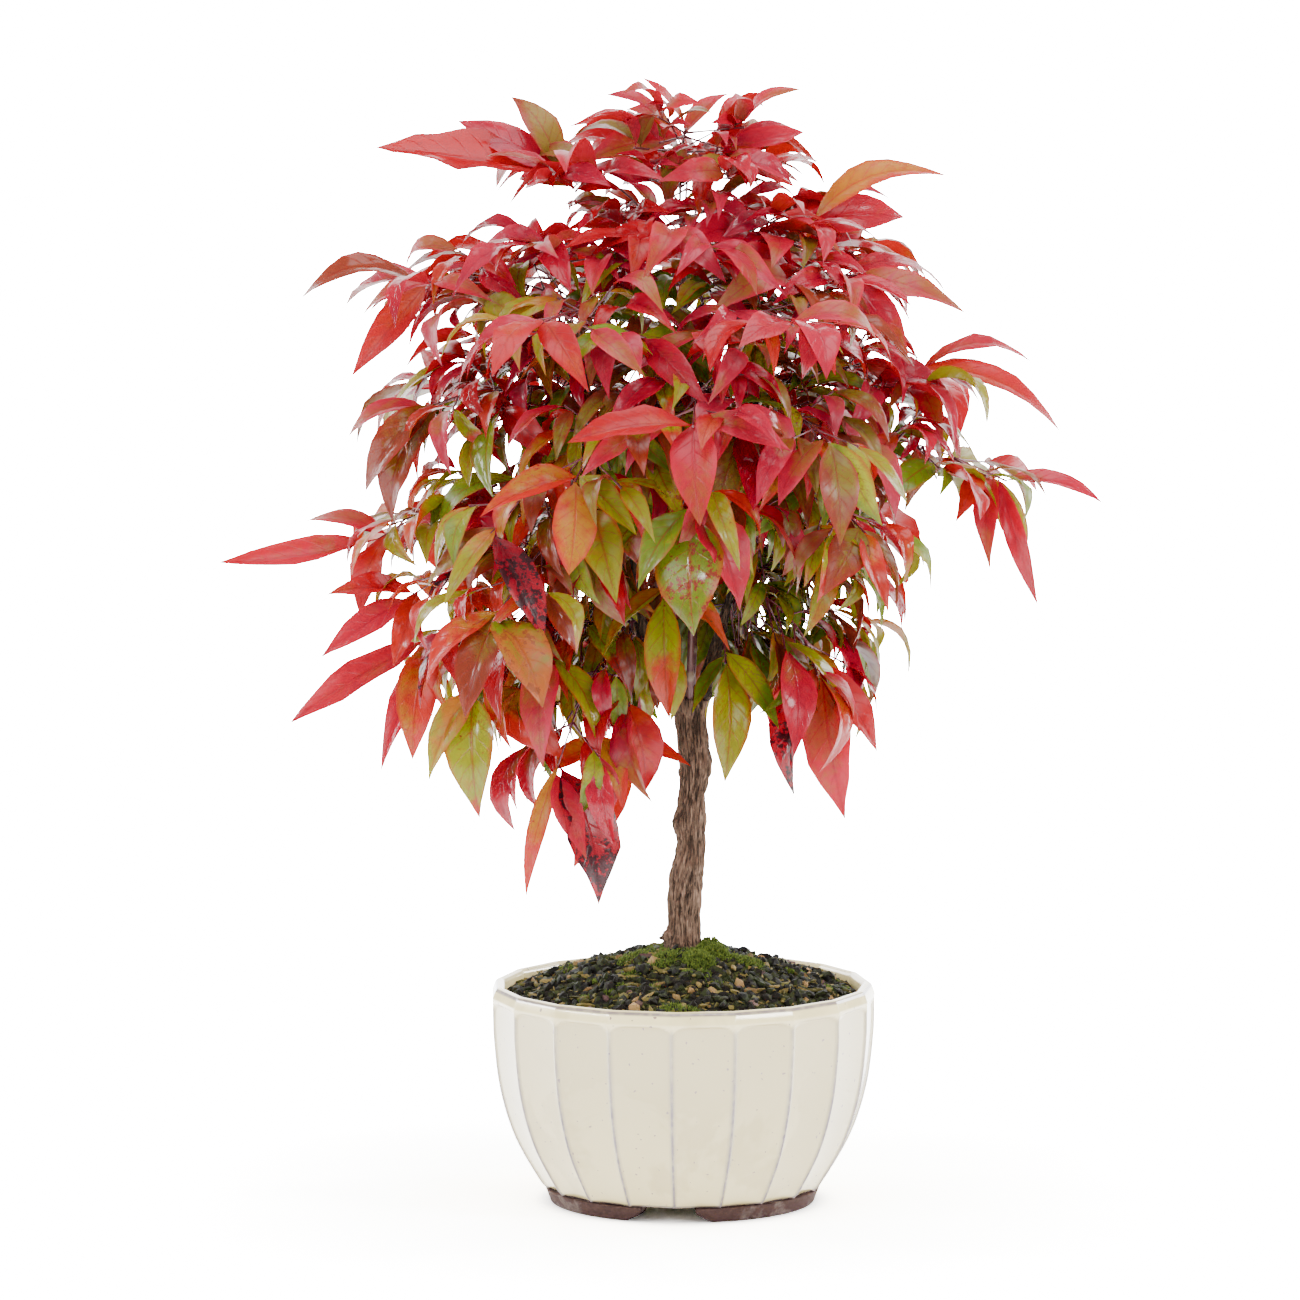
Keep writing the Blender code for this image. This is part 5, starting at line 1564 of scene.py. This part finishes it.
def furrowed(points, radii, sides, seed, depth):
    """A limb with bark: its points, faces and how deep each point lies in a furrow, which the
    bark's finish paints dark, partly as painted shade.
    """
    verts, faces = tube(points, radii, sides)
    furrow = []
    for i, vert in enumerate(verts):
        row, k = divmod(i, sides)
        centre, radius = points[row], radii[row]
        angle = math.tau * k / sides
        around = Vector((math.cos(angle), math.sin(angle), 0))
        length = centre.z
        fibre = noise.noise(Vector((around.x * 6, around.y * 6, length * 60 + seed)))
        fine = noise.noise(Vector((around.x * 15, around.y * 15, length * 170 + seed)))
        plate = noise.noise(Vector((around.x * 1.5, around.y * 1.5, length * 90 - seed)))
        crack_and_shade = max(0.0, 0.5 - abs(fibre + 0.4 * fine) * 2.8)
        lift = 1.3 * fine + 1.5 * plate - 1.9 * crack_and_shade
        verts[i] = centre + (vert - centre) * (1 + depth * lift / radius)
        furrow.append(clamped(1.7 * crack_and_shade + 0.22 - 0.3 * fine))
    return verts, faces, furrow


class BONSAI_OT_trunk(bpy.types.Operator):
    """Raises the trunk, with its furrows, its knot and its flare."""

    bl_idname = "bonsai.trunk"
    bl_label = "Trunk"

    def execute(self, context):
        settings = context.scene.bonsai_wood
        sections = TRUNK_SECTIONS + TRUNK_CROWN
        line = smooth_path([(x, 0.0, z) for z, x, _ in sections], TRUNK_STEPS)
        girth = smooth_path([(r * TRUNK_GIRTH, 0.0, z) for z, _, r in sections], TRUNK_STEPS)
        radii = [p.x for p in girth]
        verts, faces, furrow = furrowed(line, radii, TRUNK_SIDES, 3.0, settings.furrow_depth)
        for i, vert in enumerate(verts):
            for place, size, height in BURRS:
                near = max(0.0, 1 - (vert - place).length / (2 * size))
                out = (vert - line[i // TRUNK_SIDES]).normalized()
                rough = 1 + 0.8 * noise.noise(vert * 900)
                verts[i] = vert = vert + out * height * near * near * rough
        trunk = new_piece("trunk_bark", verts, faces)
        set_values(trunk, "furrow", furrow)
        dress(trunk, bark_finish("trunk bark", settings, 1.0), "trunk", slot="bark")
        return {"FINISHED"}


class BONSAI_OT_limbs(bpy.types.Operator):
    """Grows the two boughs and the canes."""

    bl_idname = "bonsai.limbs"
    bl_label = "Boughs and canes"

    def execute(self, context):
        settings = context.scene.bonsai_wood
        bark = bark_finish("bough bark", settings, 0.42)
        cane = cane_finish(settings)
        for seed, (name, (points, radii)) in enumerate(limb_paths().items()):
            path = smooth_path(points, WOOD_STEPS)
            bough = name.startswith("bough")
            joints = [abs((p.z * JOINTS + seed * JOINT_SHIFT) % 1 - 0.5) for p in path]
            girths = []
            for i, (place, joint) in enumerate(zip(path, joints)):
                at = i / WOOD_STEPS
                low = min(int(at), len(radii) - 2)
                girth = radii[low] + (radii[low + 1] - radii[low]) * (at - low)
                girth *= 0.84 + 0.24 * max(0.0, 1 - joint * 14)
                if bough:
                    girth *= 1 + 0.75 * max(0.0, 1 - (place.z - FORK) / BOUGH_FLARE)
                girths.append(girth)
            depth = settings.furrow_depth * (0.55 if bough else 0.16)
            verts, faces, furrow = furrowed(path, girths, WOOD_SIDES, 7.0 * seed, depth)
            if not bough:
                scars = [0.9 if joint < 0.05 and girth > radii[-1] * 1.3 else 0.0
                         for girth, joint in zip(girths, joints)]
                furrow = [scars[i // WOOD_SIDES] for i in range(len(verts))]
            piece = new_piece(f"{name}_wood", verts, faces)
            set_values(piece, "furrow", furrow)
            dress(piece, bark if bough else cane, name, slot="bark" if bough else "cane")
        return {"FINISHED"}


# Foliage


def fine_leaf(form, slim, bend, play, thickness, dice):
    """A leaflet's points, faces, places on the leaf and undersides.

    Play is how freely it may arch and curl away from the blade that keeps its room.
    """
    root, way, normal, length, width, bow = form
    width *= slim
    side = normal.cross(way).normalized()
    normal = way.cross(side).normalized()
    bow *= bend + play * dice.uniform(0.2, 1.3)
    fold = LEAF_FOLD * dice.uniform(0.2, 1.9)
    wave = dice.uniform(0.03, 0.20)
    waves, phase = dice.uniform(1.0, 2.6), dice.uniform(0, 1)
    twist = dice.gauss(0, 0.42)
    sabre = dice.gauss(0, 0.055) * play
    curl = dice.uniform(0.05, 0.42) * play
    fullness = dice.random()
    belly = dice.uniform(-0.05, 0.04)
    verts, faces, places, under = [], [], [], []

    def put(t, share, s, lift):
        half = width / 2 * share
        roll = twist * (t - 0.3)
        bank = side * math.cos(roll) + normal * math.sin(roll)
        top = normal * math.cos(roll) - side * math.sin(roll)
        rise = abs(s) * half * fold + lift
        rise += wave * half * abs(s) * math.sin(math.tau * (waves * t + phase) + (s > 0) * 1.7)
        rise += 0.12 * half * (1 - abs(2 * abs(s) - 1))
        arch = bow * length * 4 * t * (1 - t) - curl * length * max(0.0, t - 0.5) ** 2
        drift = side * (sabre * length * math.sin(math.pi * t))
        verts.append(root + way * (length * t) + normal * arch + drift + bank * (s * half)
                     + top * rise)
        places.append((0.5 + s / 2, t))

    for t, slender, full in LEAF_ROWS[:-1]:
        share = slender + (full - slender) * fullness
        t += belly * math.sin(math.pi * t)
        for s in LEAF_COLUMNS:
            put(t, share, s, 0.0)
        put(t, share, 0.0, -thickness * (0.5 + share / 2))
    put(1.0, 0.0, 0.0, 0.0)
    row_size = len(LEAF_COLUMNS) + 1
    tip = len(verts) - 1
    rim_right, keel = len(LEAF_COLUMNS) - 1, len(LEAF_COLUMNS)
    strips = [(k, k + 1, 0.0) for k in range(rim_right)] + [(keel, 0, 1.0), (rim_right, keel, 1.0)]
    for a in range(0, tip, row_size):
        b = a + row_size
        for left, right, below in strips:
            far = (tip,) if b == tip else (b + right, b + left)
            faces.append((a + left, a + right, *far))
            under.append(below)
    faces.append((0, keel, rim_right, 3, 2, 1))
    under.append(1.0)
    return verts, faces, places, under


def pick_tint(spray, form, dice):
    """The tint of a leaf: by its spray or its height, and greener where the crown shades it."""
    middle = form[0] + form[1] * form[3] / 2
    shaded = 1 - math.hypot(middle.x, middle.y) / INNER_REACH
    if middle.z < INNER_TOP and dice.random() < shaded:
        mix = INNER_MIX
    elif dice.random() < OWN_MIX and middle.z < INNER_TOP:
        mix = TINT_MIX[spray.tint]
    else:
        mix = next(mix for top, mix in LEVEL_MIX if middle.z < top)
    return dice.choices([tint for tint, _ in mix], [share for _, share in mix])[0]


class Heap:
    """Leaves of one tint, gathered for one piece."""

    def __init__(self):
        self.verts, self.faces, self.places, self.under, self.chance = [], [], [], [], []
        self.sprays = set()

    def add(self, spray, shape, chance):
        verts, faces, places, under = shape
        heap_up(self.verts, self.faces, verts, faces)
        self.places += places
        self.under += under
        self.chance += [chance] * len(faces)
        self.sprays.add(spray.name)

    def make(self, tint):
        leaves = new_piece(f"leaves_{tint}", self.verts, self.faces, sharp_edge=75)
        layer = leaves.data.uv_layers.new(name="leaf")
        for loop in leaves.data.loops:
            layer.data[loop.index].uv = self.places[loop.vertex_index]
        set_values(leaves, "underside", self.under, "FACE")
        set_values(leaves, "chance", self.chance, "FACE")
        dress(leaves, leaf_finish(tint), *sorted(self.sprays),
              slot=f"leaf_{TINT_SLOTS.get(tint, tint)}")


class BONSAI_OT_foliage(bpy.types.Operator):
    """Grows every spray by the solids' rule, then its fine stalks and leaflets."""

    bl_idname = "bonsai.foliage"
    bl_label = "Stalks and leaves"

    def execute(self, context):
        settings = context.scene.bonsai_foliage
        sprays = grow_foliage(limb_paths())
        verts, faces = [], []
        for spray in sprays:
            for k, path in enumerate(spray.stalks):
                stem = k == 0
                line = smooth_path(path, 5 if stem else 4)
                root = settings.stalk_radius * (1.6 if stem else 1.1)
                radii = tapered(len(line), root, settings.stalk_radius)
                radii[0] *= 1.7
                radii[-1] *= 1.6
                heap_up(verts, faces, *tube(line, radii, STALK_SIDES))
        stalks = new_piece("leaf_stalks", verts, faces, sharp_edge=70)
        dress(stalks, stalk_finish(settings), slot="cane")

        dice = random.Random(SEED)
        heaps = {tint: Heap() for tint in LEAF_FINISHES}
        for spray in sprays:
            for form, (tint, slim, bend) in spray.leaves:
                play = OUTLINE_PLAY if tint else 1.0
                tint = tint or pick_tint(spray, form, dice)
                slim = slim or dice.uniform(*FREE_WIDTHS)
                shape = fine_leaf(form, slim, bend, play, settings.leaf_thickness, dice)
                heaps[tint].add(spray, shape, dice.random())
        for tint, heap in heaps.items():
            heap.make(tint)
        return {"FINISHED"}


# Stage


def table_finish(settings):
    """White table that the eye sees brighter than it lights the plant, away from the pot; under the
    pot it is left dim as painted shade.
    """
    material = bpy.data.materials.new("white table")
    material.use_nodes = True
    tree = Tree(material.node_tree)
    rays = tree.add("ShaderNodeLightPath").outputs
    seen = rays["Is Camera Ray"]
    bright = tree.higher(seen, tree.times(rays["Is Glossy Ray"], FLOOR_REFLECTED))
    away = tree.add("ShaderNodeVectorMath", operation="LENGTH")
    tree.feed(away.inputs[0], tree.where())
    near, far = (tree.fit(away.outputs["Value"], *reach) for reach in FLOOR_GLOW)
    matt = tree.add("ShaderNodeBsdfDiffuse")
    # Under the pot the eye's brightening is left out, as painted shade.
    tree.feed(matt.inputs["Color"], tree.mix(
        tree.times(bright, near), settings.floor, dyed(settings.floor, settings.glow)))
    own = tree.add("ShaderNodeEmission")
    light = tree.times(far, settings.glow * FLOOR_OWN_LIGHT)
    tree.feed(own.inputs["Strength"], tree.times(seen, light))
    both = tree.add("ShaderNodeAddShader")
    tree.feed(both.inputs[0], matt.outputs["BSDF"])
    tree.feed(both.inputs[1], own.outputs["Emission"])
    tree.feed(material.node_tree.nodes["Material Output"].inputs["Surface"],
              both.outputs["Shader"])
    return material


def hang_light(name, place, width, height, power):
    """A softbox that faces the middle of the plant and isn't seen itself."""
    bpy.ops.object.light_add(type="AREA", location=place)
    lamp = bpy.context.object
    lamp.name = name
    lamp.visible_camera = False
    lamp.data.shape = "RECTANGLE"
    lamp.data.size = width
    lamp.data.size_y = height
    lamp.data.energy = power
    aim = POT_AXIS + UP * LIGHT_AIM
    lamp.rotation_euler = (aim - Vector(place)).to_track_quat("-Z", "Y").to_euler()


def make_surround(settings):
    """A white surround that is brighter for the eye alone."""
    world = bpy.data.worlds.new("white surround")
    world.use_nodes = True
    tree = Tree(world.node_tree)
    background = world.node_tree.nodes["Background"].inputs
    seen = tree.add("ShaderNodeLightPath").outputs["Is Camera Ray"]
    tree.feed(background["Color"], (1.0, 1.0, 1.0))
    tree.feed(background["Strength"], tree.plus(settings.surround, tree.times(seen, SKY_GLOW)))
    return world


class BONSAI_OT_stage(bpy.types.Operator):
    """Lays the pale floor, hangs the soft lights and sets the camera."""

    bl_idname = "bonsai.stage"
    bl_label = "Floor, light and camera"

    def execute(self, context):
        settings = context.scene.bonsai_stage
        bpy.ops.mesh.primitive_plane_add(size=FLOOR_SIZE, location=POT_AXIS)
        floor = context.object
        floor.name = "floor"
        floor.data.materials.append(table_finish(settings))
        for light in LIGHTS:
            hang_light(*light)
        context.scene.world = make_surround(settings)
        bpy.ops.object.camera_add(location=POT_AXIS + Vector(CAMERA_PLACE),
                                  rotation=(math.radians(90 - CAMERA_FALL), 0.0, 0.0))
        camera = context.object
        camera.data.sensor_width = 36.0
        camera.data.lens = settings.lens * 1000
        camera.data.clip_end = 50.0
        context.scene.camera = camera
        return {"FINISHED"}


class BONSAI_PT_panel(bpy.types.Panel):
    """Lists the pieces in the order in which they are made."""

    bl_label = "Bonsai"
    bl_idname = "BONSAI_PT_panel"
    bl_space_type = "VIEW_3D"
    bl_region_type = "UI"
    bl_category = "Bonsai"

    def draw(self, context):
        for operator in OPERATORS:
            self.layout.operator(operator.bl_idname)


OPERATORS = (BONSAI_OT_bowl, BONSAI_OT_feet, BONSAI_OT_soil, BONSAI_OT_moss, BONSAI_OT_trunk,
             BONSAI_OT_limbs, BONSAI_OT_foliage, BONSAI_OT_stage)
SETTINGS = {
    "bonsai_pot": PotSettings,
    "bonsai_ground": GroundSettings,
    "bonsai_wood": WoodSettings,
    "bonsai_foliage": FoliageSettings,
    "bonsai_stage": StageSettings,
}


def register():
    for cls in (*SETTINGS.values(), *OPERATORS, BONSAI_PT_panel):
        bpy.utils.register_class(cls)
    for name, cls in SETTINGS.items():
        setattr(bpy.types.Scene, name, PointerProperty(type=cls))


def unregister():
    for name in SETTINGS:
        delattr(bpy.types.Scene, name)
    for cls in (BONSAI_PT_panel, *reversed(OPERATORS), *reversed(SETTINGS.values())):
        bpy.utils.unregister_class(cls)


def main():
    register()
    make_patches()
    make_leaf_markings()
    bpy.ops.bonsai.bowl()
    bpy.ops.bonsai.feet()
    bpy.ops.bonsai.soil()
    bpy.ops.bonsai.moss()
    bpy.ops.bonsai.trunk()
    bpy.ops.bonsai.limbs()
    bpy.ops.bonsai.foliage()
    bpy.ops.bonsai.stage()
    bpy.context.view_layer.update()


if __name__ == "__main__":
    main()
